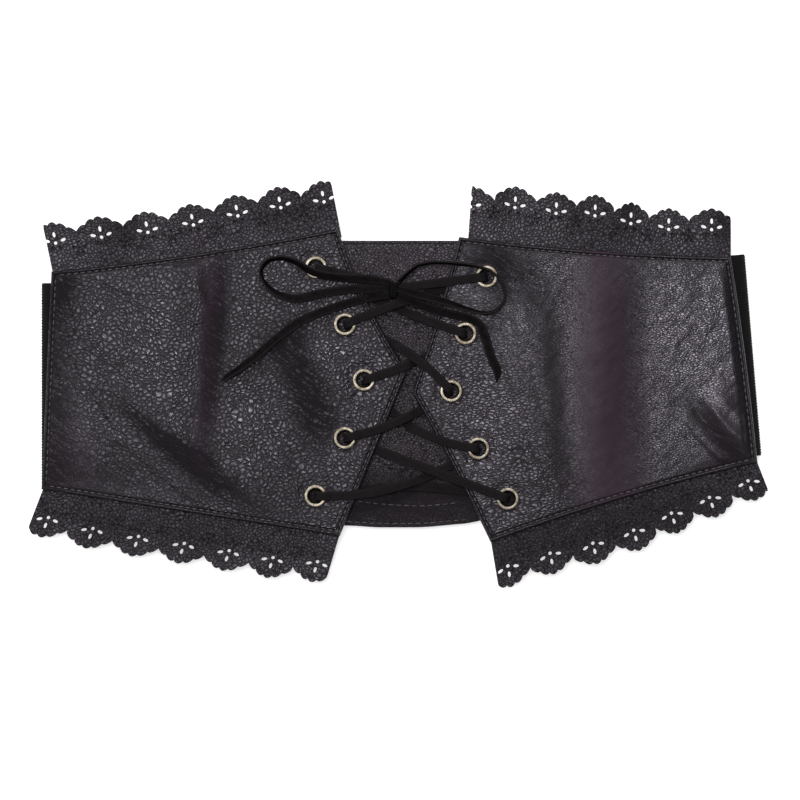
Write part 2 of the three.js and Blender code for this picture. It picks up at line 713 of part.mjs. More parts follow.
// The whole lace from the knot's left side, through all ten eyelets, to its right side
function addLacing() {
  const [knotX, knotY] = bowRoutes.knot;
  const spot = ([side, row]) => place(side, eyelets[side][row]);
  const reach = knotWidth / 2 + clearance;
  const leftEnd = new THREE.Vector3(knotX - reach - clearance, knotY + knotEnds.left, laceOnPanel);
  const rightEnd = new THREE.Vector3(knotX + reach + clearance, knotY + knotEnds.right, laceOnPanel);
  const topStrand = (side, row, end) => {
    const from = spot([side, row]);
    const heading = planHeading(from, end);
    const start = eyeletFlange / 2 + laceCurve;
    const points = [];
    const steps = 4;
    const length = Math.hypot(end.x - from.x, end.y - from.y);
    for (let k = 0; k < steps; k += 1) {
      const away = start + ((length - start) * k) / steps;
      points.push(new THREE.Vector3(from.x + heading.x * away, from.y + heading.y * away, laceOnPanel));
    }
    points.push(end);
    return points;
  };
  // Each run is over points from one eyelet to the next, and the run before it in the lace
  // is taken backwards until the bottom bar
  const climb = (rows) => rows.map((row) => ({ strand: row, points: strandStations(row) }));
  const rightWay = climb([strands[0], strands[1], strands[2], strands[3]]);
  const leftWay = climb([strands[4], strands[5], strands[6], strands[7]]);
  const leftFoot = spot(['left', 4]);
  const rightFoot = spot(['right', 4]);
  const bar = bowedEdge(leftFoot, rightFoot, barBow * panelRise);
  const barSteps = 6;
  const barPoints = [];
  const barRim = (eyeletFlange / 2 + laceCurve) / leftFoot.distanceTo(rightFoot);
  for (let k = 0; k <= barSteps; k += 1) {
    const at = bar(barRim + ((1 - 2 * barRim) * k) / barSteps);
    barPoints.push(new THREE.Vector3(at.x, at.y, laceLow));
  }
  // One way up from the bar: through the foot eyelet, then each strand and the eyelet it reaches
  const wayUp = (foot, runs, approach, last) => {
    const points = [];
    let at = foot;
    let before = approach;
    runs.forEach((run) => {
      points.push(...throughEyelet(at, planHeading(before, at), planHeading(at, run.points[0])));
      points.push(...run.points);
      at = spot(run.strand.to);
      before = run.points[run.points.length - 1];
    });
    points.push(...throughEyelet(at, planHeading(before, at), planHeading(at, last[0])));
    points.push(...last);
    return points;
  };
  const up = wayUp(rightFoot, leftWay, barPoints[barSteps], topStrand('right', 0, rightEnd));
  const down = wayUp(leftFoot, rightWay, barPoints[0], topStrand('left', 0, leftEnd));
  const route = [...down.reverse(), ...barPoints, ...up];
  add('lacing', flatSweep(laceStations(route)), suede);
}

// Turns a route into stations: the width stays level and turns smoothly through each eyelet
function laceStations(route) {
  const tangents = route.map((_, i) => {
    const a = route[Math.max(0, i - 1)];
    const b = route[Math.min(route.length - 1, i + 1)];
    return b.clone().sub(a).normalize();
  });
  const level = new THREE.Vector3(0, 0, 1);
  const wides = [];
  tangents.forEach((tangent, i) => {
    const wide = level.clone().cross(tangent);
    if (wide.length() < 0.5) {
      wides.push(null);
      return;
    }
    wide.normalize();
    const last = wides.slice(0, i).reverse().find((item) => item);
    if (last && last.dot(wide) < 0) wide.negate();
    wides.push(wide);
  });
  for (let i = 0; i < wides.length; i += 1) {
    if (wides[i]) continue;
    let next = i;
    while (!wides[next]) next += 1;
    const mixed = wides[i - 1].clone().multiplyScalar(next - i).add(wides[next]);
    wides[i] = mixed.addScaledVector(tangents[i], -mixed.dot(tangents[i])).normalize();
  }
  return route.map((at, i) => {
    const wide = wides[i].clone().addScaledVector(tangents[i], -wides[i].dot(tangents[i])).normalize();
    return { at, wide, thick: tangents[i].clone().cross(wide) };
  });
}

function addKnot() {
  const [x, y] = bowRoutes.knot;
  const knot = new THREE.SphereGeometry(0.5, 10, 8);
  knot.scale(knotWidth, knotLength, knotHeight);
  const mesh = add('bow_knot', finished(knot), suede);
  mesh.position.set(x, y, laceOnPanel + laceThick / 2);
}

// One free length of lace, flat or standing on its edge, through its chosen points
function addBowLace(name, points, upright) {
  const curve = new THREE.CatmullRomCurve3(
    points.map(([x, y, over]) => new THREE.Vector3(x, y, panelTop + over + foldLift(x, y))),
  );
  const wide = upright ? laceThick : laceWidth;
  const tall = upright ? laceWidth : laceThick;
  const section = new THREE.Shape();
  const corners = [
    [-0.5, -0.3], [-0.4, -0.5], [0.4, -0.5], [0.5, -0.3], [0.5, 0.3], [0.4, 0.5], [-0.4, 0.5], [-0.5, 0.3],
  ];
  section.setFromPoints(corners.map(([across, up]) => new THREE.Vector2(up * tall, across * wide)));
  const steps = Math.round(curve.getLength() / (laceWidth * 1.6));
  const lace = new THREE.ExtrudeGeometry(section, { steps, extrudePath: curve, bevelEnabled: false });
  add(name, finished(lace), suede);
}

// How much higher or lower the panel's face lies at a point than at the lacing
function foldLift(x, y) {
  return underside(x, y) - panelUnder;
}

for (const side of ['left', 'right']) addPanel(side);
for (const side of ['left', 'right']) {
  eyelets[side].forEach((row, i) => addEyelet(`eyelet_${side}_${i + 1}`, place(side, row)));
}
trims.forEach(addTrim);
addTongue();
addBand();
addLacing();
addKnot();
addBowLace('bow_loop_left', bowRoutes.leftLoop, false);
addBowLace('bow_loop_right', bowRoutes.rightLoop, true);
addBowLace('lace_tail_left', bowRoutes.leftTail, false);
addBowLace('lace_tail_right', bowRoutes.rightTail, false);

// The origin sits under the middle of the belt's whole outline
const outline = new THREE.Box3().setFromObject(belt);
const middle = outline.getCenter(new THREE.Vector3());
belt.position.set(-middle.x, -middle.y, -outline.min.z);

export default belt;
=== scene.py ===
import math
from collections import namedtuple

import bpy
import numpy as np
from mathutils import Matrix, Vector
from mathutils.geometry import delaunay_2d_cdt


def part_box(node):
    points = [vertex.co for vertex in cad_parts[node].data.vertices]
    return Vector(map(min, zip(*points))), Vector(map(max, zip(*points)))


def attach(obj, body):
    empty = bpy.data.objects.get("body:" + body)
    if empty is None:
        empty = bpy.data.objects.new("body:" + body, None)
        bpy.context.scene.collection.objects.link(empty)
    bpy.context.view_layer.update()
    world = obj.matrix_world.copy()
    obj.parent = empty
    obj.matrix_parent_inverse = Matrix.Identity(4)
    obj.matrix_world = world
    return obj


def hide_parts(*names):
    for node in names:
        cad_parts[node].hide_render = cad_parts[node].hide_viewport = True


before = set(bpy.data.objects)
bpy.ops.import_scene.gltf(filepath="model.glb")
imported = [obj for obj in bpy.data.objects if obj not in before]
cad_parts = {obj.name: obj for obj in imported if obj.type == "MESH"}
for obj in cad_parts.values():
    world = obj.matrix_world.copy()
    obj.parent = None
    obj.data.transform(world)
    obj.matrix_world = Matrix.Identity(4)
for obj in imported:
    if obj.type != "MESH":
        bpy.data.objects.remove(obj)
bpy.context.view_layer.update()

bl_info = {
    "name": "Corset Belt",
    "version": (1, 0, 0),
    "blender": (4, 5, 0),
    "location": "3D View > Sidebar > Corset Belt",
    "description": "Laced leather corset belt with pierced scalloped trims and an elastic back",
    "category": "Add Mesh",
}

# Lengths are in metres. +X runs to the right of the belt's front, +Y to its top edge and +Z up.
MM = 0.001

PANEL_REACH = 161 * MM
PANEL_RISE = 70 * MM
PANEL_WALL = 2 * MM
TRIM_REACH = 23 * MM
TRIM_WALL = 1.2 * MM
SEAM_LAP = 4 * MM
SCALLOP_ARCH = 4.4 * MM
LOBE_RISE = 1.1 * MM
RUFFLE_RISE = 2.6 * MM
FLOWER_RADIUS = 3.8 * MM
FLOWER_INSET = 9.6 * MM
PETAL_LENGTH = 2.5 * MM
PETAL_WIDTH = 1.3 * MM
FLOWER_DOT = 1.5 * MM
BUD_INSET = 13.2 * MM
BUD_RADIUS = 2.3 * MM
BUD_LENGTH = 1.9 * MM
BUD_WIDTH = 1.2 * MM
BUD_DOT = 1.4 * MM
TONGUE_RISE = 64.6 * MM
TONGUE_WALL = 1.2 * MM
TONGUE_FLAP = 7 * MM
TONGUE_TAPER = 10.3 * MM
BAND_WIDTH = 91 * MM
BAND_WALL = 1.4 * MM
BAND_LAP = 13 * MM
BAND_SHOW_LEFT = 5 * MM
BAND_SHOW_RIGHT = 10.5 * MM
BAND_RISE = 12.8 * MM
BAND_EDGE = 0.6 * MM
BAND_EDGE_THIN = 0.35 * MM
RIB_INSET = 0.14 * MM
HOLLOW_HEIGHT = 6 * MM
FOLD_HEIGHT = 5.9 * MM
LACE_WIDTH = 4 * MM
LACE_THICK = 1.2 * MM
EYELET_FLANGE = 10 * MM
EYELET_BACK = 9 * MM
EYELET_BORE = 6.2 * MM
BARREL_WALL = 0.5 * MM
FLANGE_THICK = 0.6 * MM
KNOT_LENGTH = 8 * MM
KNOT_WIDTH = 4.6 * MM
KNOT_HEIGHT = 5 * MM
FOLD_DEPTH = 1.6 * MM
LACE_CURVE = 2.6 * MM
LACE_MARGIN = 2.4 * MM
CLEARANCE = 0.3 * MM
SEAM_GAP = 0.36 * MM

TONGUE_UNDER = BAND_WALL + HOLLOW_HEIGHT
TONGUE_TOP = TONGUE_UNDER + TONGUE_WALL
LACE_LOW = TONGUE_TOP + CLEARANCE + LACE_THICK / 2
PANEL_UNDER = TONGUE_TOP + CLEARANCE * 3 + LACE_THICK + FLANGE_THICK
PANEL_TOP = PANEL_UNDER + PANEL_WALL
BAND_TOP = BAND_WALL * 2 + FOLD_HEIGHT
PANEL_UNDER_END = BAND_TOP + CLEARANCE * 2 + TRIM_WALL
LACE_UNDER_EDGE = PANEL_UNDER - CLEARANCE - LACE_THICK / 2
LACE_ON_PANEL = PANEL_TOP + CLEARANCE + LACE_THICK / 2
LACE_ON_FLANGE = LACE_ON_PANEL + CLEARANCE + FLANGE_THICK

LACE_ZONE = 0.43 * PANEL_REACH
FOLDS_FROM = 0.55 * PANEL_REACH
FOLDS_TO = 0.82 * PANEL_REACH
END_ZONE = 0.93 * PANEL_REACH
TONGUE_FLAT = 0.17 * PANEL_REACH
SEAM_CALM = 0.7
BAR_BOW = 0.065
STITCH_SHARE = 0.8
KNOT_BITE = 1.4 * MM

# Corners of each panel: out in shares of PANEL_REACH, up in shares of PANEL_RISE, and the bulge
# of the edge that runs on to the next corner.
PANEL_CORNERS = {
    "left": (
        (0.974, 0.723, -0.023), (0.174, 0.997, -0.034), (-0.02, 0.08, 0.0),
        (0.168, -0.977, 0.0), (1.002, -0.677, 0.0),
    ),
    "right": (
        (0.925, 0.816, -0.023), (0.165, 0.945, -0.013), (0.034, -0.058, -0.012),
        (0.253, -1.016, -0.028), (0.999, -0.504, 0.01),
    ),
}
# Eyelet centres from the top down, in the same shares
EYELETS = {
    "left": ((0.235, 0.749), (0.154, 0.383), (0.101, 0.026), (0.154, -0.347), (0.236, -0.719)),
    "right": ((0.242, 0.69), (0.183, 0.324), (0.143, -0.045), (0.219, -0.414), (0.301, -0.737)),
}
# Crossed strands from the bottom up, from one eyelet to the next: bow is the sideways slack, and
# the strand falls from over its own panel to under the other one between two shares of the gap
Strand = namedtuple("Strand", "start end bow fall_from fall_to")
STRANDS = (
    Strand(("left", 4), ("right", 3), -0.09, 0.1, 0.75),
    Strand(("right", 3), ("left", 2), 0.1, 0.0, 0.56),
    Strand(("left", 2), ("right", 1), -0.03, 0.0, 0.9),
    Strand(("right", 1), ("left", 0), 0.03, 0.0, 0.56),
    Strand(("right", 4), ("left", 3), 0.0, 0.5, 1.0),
    Strand(("left", 3), ("right", 2), -0.04, 0.45, 1.0),
    Strand(("right", 2), ("left", 1), -0.06, 0.3, 1.0),
    Strand(("left", 1), ("right", 0), 0.02, 0.45, 1.0),
)
# The lace's way through an eyelet: away in shares of the flange's radius, climb from the run
# over the tongue (0) to the run over the face flange (1)
EYELET_WAY = (
    (-1.0, 0.0), (-0.36, 0.02), (-0.1, 0.15), (0.0, 0.43),
    (0.0, 0.68), (0.1, 0.87), (0.36, 1.0), (1.0, 1.0),
)
# Soft folds: panel, out, up, turn in degrees from +X, long and wide in shares of PANEL_RISE,
# deep in shares of FOLD_DEPTH
PANEL_FOLDS = (
    ("left", 0.53, 0.1, 86, 1.0, 0.12, -0.9), ("left", 0.72, 0.2, 80, 0.8, 0.2, 0.7),
    ("left", 0.66, -0.42, -38, 0.34, 0.09, -0.6), ("left", 0.58, -0.5, -44, 0.4, 0.09, 0.5),
    ("right", 0.43, 0.1, 88, 0.9, 0.14, -0.5), ("right", 0.56, 0.15, 90, 0.9, 0.16, 0.7),
    ("right", 0.64, 0.1, 86, 0.9, 0.12, -0.7), ("right", 0.86, -0.2, -38, 0.3, 0.09, -0.5),
)
# Small creases of the leather's face: panel, out and up of both ends, width and depth in mm
# (a negative depth is a ridge)
CREASES = (
    ("left", 0.845, -0.12, 0.775, -0.37, 1.1, 0.42), ("left", 0.775, -0.37, 0.64, -0.43, 1.0, 0.4),
    ("left", 0.64, -0.43, 0.5, -0.74, 1.4, 0.5), ("left", 0.66, -0.26, 0.475, -0.58, 1.5, 0.45),
    ("left", 0.7, -0.42, 0.53, -0.72, 1.2, -0.4), ("left", 0.61, -0.36, 0.47, -0.68, 1.3, -0.4),
    ("left", 0.78, -0.33, 0.66, -0.38, 0.9, -0.3), ("left", 0.56, 0.66, 0.505, 0.5, 1.6, 0.4),
    ("left", 0.93, 0.52, 0.87, 0.2, 1.6, -0.35), ("left", 0.9, 0.6, 0.83, 0.32, 1.3, 0.3),
    ("left", 0.8, 0.6, 0.66, 0.56, 1.3, 0.3), ("left", 0.41, -0.02, 0.33, -0.42, 1.6, 0.35),
    ("left", 0.36, 0.12, 0.29, -0.22, 1.3, -0.3), ("left", 0.33, -0.4, 0.22, -0.55, 1.2, 0.3),
    ("left", 0.3, 0.3, 0.22, 0.08, 1.2, 0.3), ("left", 0.3, 0.55, 0.19, 0.5, 1.1, 0.25),
    ("right", 0.82, -0.15, 0.95, -0.46, 1.7, 0.6), ("right", 0.79, -0.2, 0.92, -0.52, 1.6, -0.45),
    ("right", 0.87, -0.14, 0.97, -0.38, 1.3, -0.35), ("right", 0.37, 0.22, 0.42, -0.3, 2.2, 0.35),
    ("right", 0.2, 0.86, 0.29, 0.66, 1.5, 0.45), ("right", 0.23, 0.9, 0.34, 0.8, 1.4, 0.35),
    ("right", 0.3, 0.6, 0.37, 0.28, 1.6, 0.3), ("right", 0.32, 0.72, 0.4, 0.42, 1.3, -0.25),
    ("right", 0.34, -0.2, 0.42, -0.62, 1.5, 0.25), ("right", 0.47, -0.5, 0.56, -0.8, 1.6, 0.25),
)
# Broad folds of the leather's face that fall off differently at their two sides: panel, out and
# up of both ends, width at the left and at the right hand when walking that way, and rise, in mm
BROAD_FOLDS = (
    ("left", 0.562, -0.566, 0.562, 0.823, 24, 6.5, 2.2),
    ("left", 0.514, 0.315, 0.587, 0.81, 7, 2.8, 0.8),
    ("left", 0.704, -0.283, 0.492, -0.707, 6, 2.6, 1.1),
    ("left", 0.654, -0.18, 0.453, -0.63, 3.2, 1.7, 0.6),
    ("left", 0.76, -0.399, 0.548, -0.784, 3.5, 1.6, 0.5),
    ("left", 0.844, -0.103, 0.777, -0.386, 3.0, 1.5, 0.5),
    ("left", 0.788, -0.36, 0.609, -0.501, 3.0, 1.3, 0.5),
    ("left", 0.922, 0.219, 0.939, 0.636, 5, 3, 0.5),
    ("left", 0.883, 0.54, 0.839, 0.206, 4, 2.4, 0.45),
    ("left", 0.85, 0.694, 0.727, 0.54, 4, 1.8, 0.5),
    ("left", 0.335, 0.399, 0.274, -0.09, 5, 2.2, 0.7),
    ("left", 0.302, -0.09, 0.218, -0.36, 4, 1.8, 0.6),
    ("left", 0.28, 0.54, 0.347, 0.206, 4, 2.0, 0.5),
    ("left", 0.43, -0.231, 0.386, -0.784, 6, 2.6, 0.6),
    ("left", 0.369, -0.36, 0.291, -0.746, 4, 2.0, 0.5),
    ("left", 0.218, 0.231, 0.134, -0.116, 3, 1.6, 0.4),
    ("right", 0.42, -0.7, 0.385, 0.54, 16, 6, 1.5),
    ("right", 0.552, -1.035, 0.546, 0.784, 11, 10, 0.3),
    ("right", 0.925, -0.5, 0.915, 0.7, 36, 12, 1.4),
    ("right", 0.85, -0.103, 0.973, -0.437, 9, 2.8, 1.4),
    ("right", 0.811, -0.193, 0.922, -0.553, 4, 2.0, 0.6),
    ("right", 0.883, -0.077, 0.984, -0.296, 3, 1.6, 0.5),
    ("right", 0.173, 0.855, 0.305, 0.726, 3, 1.7, 0.9),
    ("right", 0.201, 0.881, 0.335, 0.784, 2.4, 1.4, 0.6),
    ("right", 0.288, 0.784, 0.347, 0.309, 5, 2.4, 0.7),
    ("right", 0.274, 0.347, 0.335, -0.103, 4, 2.6, 0.5),
    ("right", 0.335, -0.257, 0.38, -0.694, 4, 2.4, 0.5),
    ("right", 0.936, 0.656, 0.956, 0.219, 4, 2, 0.4),
)
# Where a slope or handling takes the leather's shine: piece, out, up, turn in degrees from +X,
# long and wide in shares of PANEL_RISE, and how dull
DULL_SPOTS = (
    ("left", 0.52, 0.25, 85, 0.65, 0.07, 1.0), ("left", 0.61, -0.437, -38, 0.44, 0.07, 1.2),
    ("left", 0.257, -0.05, -70, 0.38, 0.13, 1.0), ("left", 0.964, 0.0, 90, 1.2, 0.12, 0.5),
    ("left", 0.945, 0.59, 60, 0.2, 0.1, 0.5), ("left", 0.78, -0.57, 0, 0.6, 0.17, 0.35),
    ("left", 0.35, 0.22, 35, 0.3, 0.1, 0.4), ("left", 0.38, -0.75, 0, 0.4, 0.12, 0.25),
    ("left", 0.61, 0.5, 84, 0.25, 0.08, 0.25), ("left", 0.3, -0.45, 75, 0.2, 0.09, 0.25),
    ("left", 0.66, 0.1, 90, 0.6, 0.2, -0.2), ("left", 0.205, 0.22, 60, 0.12, 0.12, -0.4),
    ("left", 0.165, -0.42, 60, 0.12, 0.1, -0.4), ("left", 0.44, -0.35, 90, 0.3, 0.14, -0.2),
    ("right", 0.414, 0.09, -81, 0.9, 0.065, 0.2), ("right", 0.6, 0.09, 90, 1.4, 0.15, 0.4),
    ("right", 0.67, 0.1, 90, 1.2, 0.1, 0.3), ("right", 0.27, 0.5, 80, 0.2, 0.08, 0.25),
    ("right", 0.9, -0.36, -49, 0.3, 0.07, 1.1), ("right", 0.28, 0.784, -45, 0.25, 0.12, 0.6),
    ("right", 0.44, -0.5, -70, 0.4, 0.09, 0.2), ("right", 0.9, 0.12, 90, 0.4, 0.12, -0.5),
    ("right", 0.8, 0.3, 84, 0.7, 0.3, -0.55), ("right", 0.23, -0.38, 70, 0.4, 0.12, -0.55),
    ("tongue", 0.0, -0.76, 0, 2.5, 0.18, 1.0), ("tongue", 0.0, -0.1, 0, 2.5, 0.9, 0.25),
    ("left_top_trim", 0.79, 1.0, 80, 0.5, 0.08, 0.4),
    ("left_top_trim", 0.3, 1.1, 5, 0.5, 0.12, 0.3),
    ("left_bottom_trim", 0.6, -0.95, -6, 1.2, 0.12, 0.3),
    ("left_bottom_trim", 0.7, -0.8, 0, 1.2, 0.4, 0.2),
    ("right_top_trim", 0.55, 1.0, 88, 0.5, 0.25, 0.3),
    ("right_top_trim", 0.15, 1.1, 0, 0.6, 0.3, -0.3),
    ("right_top_trim", 0.93, 0.98, -60, 0.3, 0.1, 0.5),
    ("right_bottom_trim", 0.6, -0.9, 14, 1.4, 0.2, 0.6),
)
# Steps between the close mesh lines along a panel's edge, in mm, from the edge inwards
PANEL_STEPS = (0.12, 0.2, 0.28, 0.3, 0.3, 0.24, 0.2, 0.2, 0.2, 0.24, 0.4, 0.5)
# Trims: the panel's side and edge that each is sewn to, how its two ends lean in degrees, the
# span of the edge that it covers, where its first scallop starts, its scallops (end, reach in
# shares of TRIM_REACH) and its ruffles (at, wide, rise in shares of RUFFLE_RISE). Places along
# the edge are shares of its length.
Trim = namedtuple("Trim", "name side edge leans span start scallops ruffles")
TRIMS = (
    Trim(
        "left_top_trim", "left", "top", (102, 101), (0.003, 1.008), -0.045,
        ((0.113, 0.969), (0.275, 0.984), (0.434, 0.965), (0.594, 0.982), (0.747, 1.022),
         (0.896, 1.035), (1.047, 0.99)),
        ((0.2, 0.07, 0.35), (0.29, 0.035, 1.0), (0.52, 0.08, 0.5), (0.86, 0.09, 0.6)),
    ),
    Trim(
        "left_bottom_trim", "left", "bottom", (-111, -106.5), (0.004, 0.998), -0.022,
        ((0.132, 0.955), (0.284, 1.03), (0.437, 1.045), (0.588, 1.04), (0.736, 1.043),
         (0.88, 1.044), (1.026, 0.988)),
        ((0.16, 0.06, 0.6), (0.44, 0.09, 0.5), (0.75, 0.07, 0.7)),
    ),
    Trim(
        "right_top_trim", "right", "top", (90, 86), (0, 0.966), -0.012,
        ((0.154, 0.947), (0.305, 0.92), (0.435, 0.995), (0.572, 1.1), (0.724, 1.083),
         (0.878, 1.118), (1.054, 1.035)),
        ((0.07, 0.06, 0.5), (0.42, 0.05, 1.0), (0.64, 0.08, 0.45), (0.9, 0.06, 0.5)),
    ),
    Trim(
        "right_bottom_trim", "right", "bottom", (-68.4, -80.6), (0, 0.998), -0.02,
        ((0.13, 0.73), (0.278, 0.862), (0.42, 0.965), (0.566, 1.083), (0.72, 1.09),
         (0.875, 1.018), (1.031, 0.982)),
        ((0.12, 0.06, 0.7), (0.4, 0.07, 0.8), (0.68, 0.08, 0.4)),
    ),
)
# The bow's route, given in mm: x, y and height over the panel's face, then the lace's roll in
# degrees (0 lies flat, 90 stands on its edge)
KNOT = (-2.9, 42.3)
BOW_ROUTES = {
    "bow_loop_left": (
        (-5.9, 43.1, 2.2, 0), (-14, 42.7, 2.1, 8), (-24, 42.4, 2.1, 5), (-36.9, 40.4, 1.4, 0),
        (-47, 38.4, 0.9, 12), (-54.5, 40.2, 0.9, 45), (-60.4, 44.8, 0.9, 68),
        (-62.6, 50.6, 0.9, 70), (-59.6, 55.2, 0.9, 66), (-53.6, 56.6, 0.9, 62),
        (-47, 55, 1.4, 55), (-41.6, 51.6, 2.7, 42), (-35, 49, 3.5, 28), (-24, 47.6, 2.8, 20),
        (-14, 47.1, 2.7, 10), (-5.9, 45.9, 3.3, 0),
    ),
    "bow_loop_right": (
        (0.2, 46.6, 2.9, 50), (3.6, 49.9, 2.7, 66), (7.6, 53, 2.5, 74), (13, 54.4, 2.4, 76),
        (23, 54.3, 2.4, 76), (30, 53.6, 2.5, 76), (34.6, 52.8, 3.3, 80), (39, 51.4, 3.5, 86),
        (43, 48.9, 3.5, 88), (45.9, 44.6, 2.9, 88), (47, 38.6, 2.4, 88), (43.2, 33.2, 2.4, 84),
        (37.4, 31.9, 2.4, 76), (30, 33.6, 2.4, 62), (21, 36.6, 2.7, 44), (11, 39.3, 3.5, 26),
        (0.4, 42.4, 4.5, 10),
    ),
    "lace_tail_left": (
        (-6, 39.6, 0.9, 0), (-13.5, 38.9, 0.9, 0), (-25.4, 35.7, 0.9, 6), (-42.8, 29.2, 0.9, 12),
        (-54, 21.6, 0.9, 18), (-66.2, 11.2, 0.9, 34), (-80.1, 1.4, 0.9, 62),
    ),
    "lace_tail_right": (
        (0.1, 39.2, 2.2, 0), (6, 36.9, 1.9, 6), (15.1, 33.6, 1.1, 10), (25, 30.9, 0.9, 16),
        (31.4, 29.5, 0.9, 24), (35.4, 27.2, 0.9, 20), (37.7, 22.6, 0.9, 8), (41.2, 11.7, 0.9, 0),
        (43.7, 5.9, 0.9, 0), (43.5, 0.8, 0.9, 0),
    ),
}
# How far the tails taper to their cut ends, in mm
TAIL_POINTS = {"lace_tail_left": 3, "lace_tail_right": 5}
KNOT_ENDS = {"left": 2.1 * MM, "right": 1 * MM}

SIDE_SIGN = {"left": -1, "right": 1}
KNOT_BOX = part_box("bow_knot")
SHIFT = np.array([
    (KNOT_BOX[0][0] + KNOT_BOX[1][0]) / 2 - KNOT[0] * MM,
    (KNOT_BOX[0][1] + KNOT_BOX[1][1]) / 2 - KNOT[1] * MM,
    0.0,
])
CAMERA_DISTANCE = 2.5
CAMERA_DROP = 7.2 * MM
VIEW_WIDTH = 0.36
FOCUS_HEIGHT = 11 * MM
FLOOR_HALF = 3.0
FLOOR_DROP = 0.2 * MM
WORLD_LIGHT = 0.09
# Softboxes, all turned to the belt: name, place, width and height, power in watts
LIGHTS = (
    ("key_softbox", (-0.32, 0.38, 3.4), (1.3, 1.1), 80.0),
    ("side_softbox", (-2.4, 1.2, 2.0), (1.2, 1.2), 26.0),
    ("top_softbox", (0.4, 2.4, 2.0), (1.8, 0.8), 30.0),
)


def length_setting(name, words, default, low, high):
    """A length that a user may change, between two limits."""
    return bpy.props.FloatProperty(
        name=name, description=words, default=default, min=low, max=high, unit="LENGTH",
        precision=5,
    )


def colour_setting(name, words, default):
    """A colour that a user may change."""
    return bpy.props.FloatVectorProperty(
        name=name, description=words, subtype="COLOR", size=3, min=0, max=1, default=default,
    )


class CorsetBeltSizes(bpy.types.PropertyGroup):
    """Sizes of the belt's finish that a user may change"""

    welt_rise: length_setting(
        "Welt rise", "Height of the folded edge over the leather's face", 0.00032, 0.0, 0.001,
    )
    groove_depth: length_setting(
        "Groove depth", "Depth of the sewn groove beside the folded edge", 0.0008, 0.0, 0.0015,
    )
    groove_inset: length_setting(
        "Groove inset", "From the folded edge to the middle of the sewn groove",
        0.002, 0.0012, 0.005,
    )
    stitch_pitch: length_setting(
        "Stitch pitch", "From the start of one stitch to the next", 0.0031, 0.0015, 0.008,
    )
    stitch_thick: length_setting(
        "Thread thickness", "Diameter of the sewing thread", 0.00062, 0.0002, 0.001,
    )
    dent_depth: length_setting(
        "Flower dent", "Depth of the flowers' blind petals", 0.0005, 0.0, 0.001,
    )
    rib_pitch: length_setting(
        "Elastic rib pitch", "Distance between the elastic's ribs", 0.0013, 0.0008, 0.004,
    )
    rib_rise: length_setting(
        "Elastic rib rise", "Height of the elastic's ribs", 0.00028, 0.0, 0.0006,
    )


class CorsetBeltColours(bpy.types.PropertyGroup):
    """Colours of the belt that a user may change"""

    leather: colour_setting(
        "Leather", "Face leather of the panels and trims", (0.0062, 0.005, 0.0066),
    )
    # Brown-violet of the hide's blotches, also painted along the panels' folds as their shade
    leather_warm_and_shade: colour_setting(
        "Warm leather and fold shade", "Brown-violet of the blotches, also painted along the folds as their shade", (0.0165, 0.0048, 0.0115),
    )
    tongue: colour_setting(
        "Tongue leather", "Thin leather of the tongue", (0.0075, 0.0052, 0.0065),
    )
    elastic: colour_setting("Elastic", "Ribbed elastic of the back", (0.0028, 0.0026, 0.0029))
    suede: colour_setting("Suede lace", "Flat suede of the lace", (0.002, 0.0016, 0.0018))
    brass: colour_setting("Brass", "Antique brass of the eyelets", (0.135, 0.119, 0.094))
    thread: colour_setting("Thread", "Sewing thread", (0.042, 0.038, 0.043))
    floor: colour_setting("Floor", "Plain pale floor", (0.82, 0.82, 0.82))


# Forms in plan and height


def smooth(value, start, end):
    """The smooth step 3s^2 - 2s^3 of the share s of value between start and end."""
    share = np.clip((np.asarray(value, float) - start) / (end - start), 0.0, 1.0)
    return share * share * (3 - 2 * share)


def bell(value, centre, width):
    """exp(-t^2) of the distance t from the centre, in widths."""
    return np.exp(-(((value - centre) / width) ** 2))


def place(side, row):
    """A point given in shares of a side, in metres."""
    return np.array([SIDE_SIGN[side] * row[0] * PANEL_REACH, row[1] * PANEL_RISE])


def bowed_edge(a, b, bow):
    """A quadratic curve from a to b whose middle lies bow to the left of the chord's middle."""
    chord = b - a
    left = np.array([-chord[1], chord[0]]) / np.hypot(*chord)
    pull = (a + b) / 2 + 2 * bow * left

    def at(share):
        """Points of the curve at shares of its way."""
        s = np.asarray(share, float)[..., None]
        return (1 - s) ** 2 * a + 2 * s * (1 - s) * pull + s * s * b

    return at


def panel_shape(side):
    """A panel's four edges, and its plan: each point is the blend of the edges beside it, less
    the blend of the four corners (a Coons patch)."""
    rows = PANEL_CORNERS[side]
    corners = [place(side, row) for row in rows]
    edges = [
        bowed_edge(corners[i], corners[(i + 1) % 5], -SIDE_SIGN[side] * rows[i][2] * PANEL_RISE)
        for i in range(5)
    ]

    def bottom(share):
        """The bottom edge from the outer end to the inner one."""
        return edges[3](1 - np.asarray(share, float))

    def inner(rise):
        """The inner edge from the bottom up, through its middle corner."""
        rise = np.asarray(rise, float)
        low = edges[2](np.clip(1 - 2 * rise, 0, 1))
        high = edges[1](np.clip(2 - 2 * rise, 0, 1))
        return np.where((rise < 0.5)[..., None], low, high)

    def point(share, rise):
        """The panel's plan at shares inward and up."""
        s, r = (np.asarray(v, float)[..., None] for v in (share, rise))
        flat = bottom(share) * (1 - r) + edges[0](share) * r
        flat = flat + edges[4](rise) * (1 - s) + inner(rise) * s
        flat = flat - corners[4] * (1 - s) * (1 - r) - corners[3] * s * (1 - r)
        return flat - corners[0] * (1 - s) * r - corners[1] * s * r

    return {"top": edges[0], "bottom": bottom, "outer": edges[4], "inner": inner, "point": point}


PANELS = {side: panel_shape(side) for side in ("left", "right")}


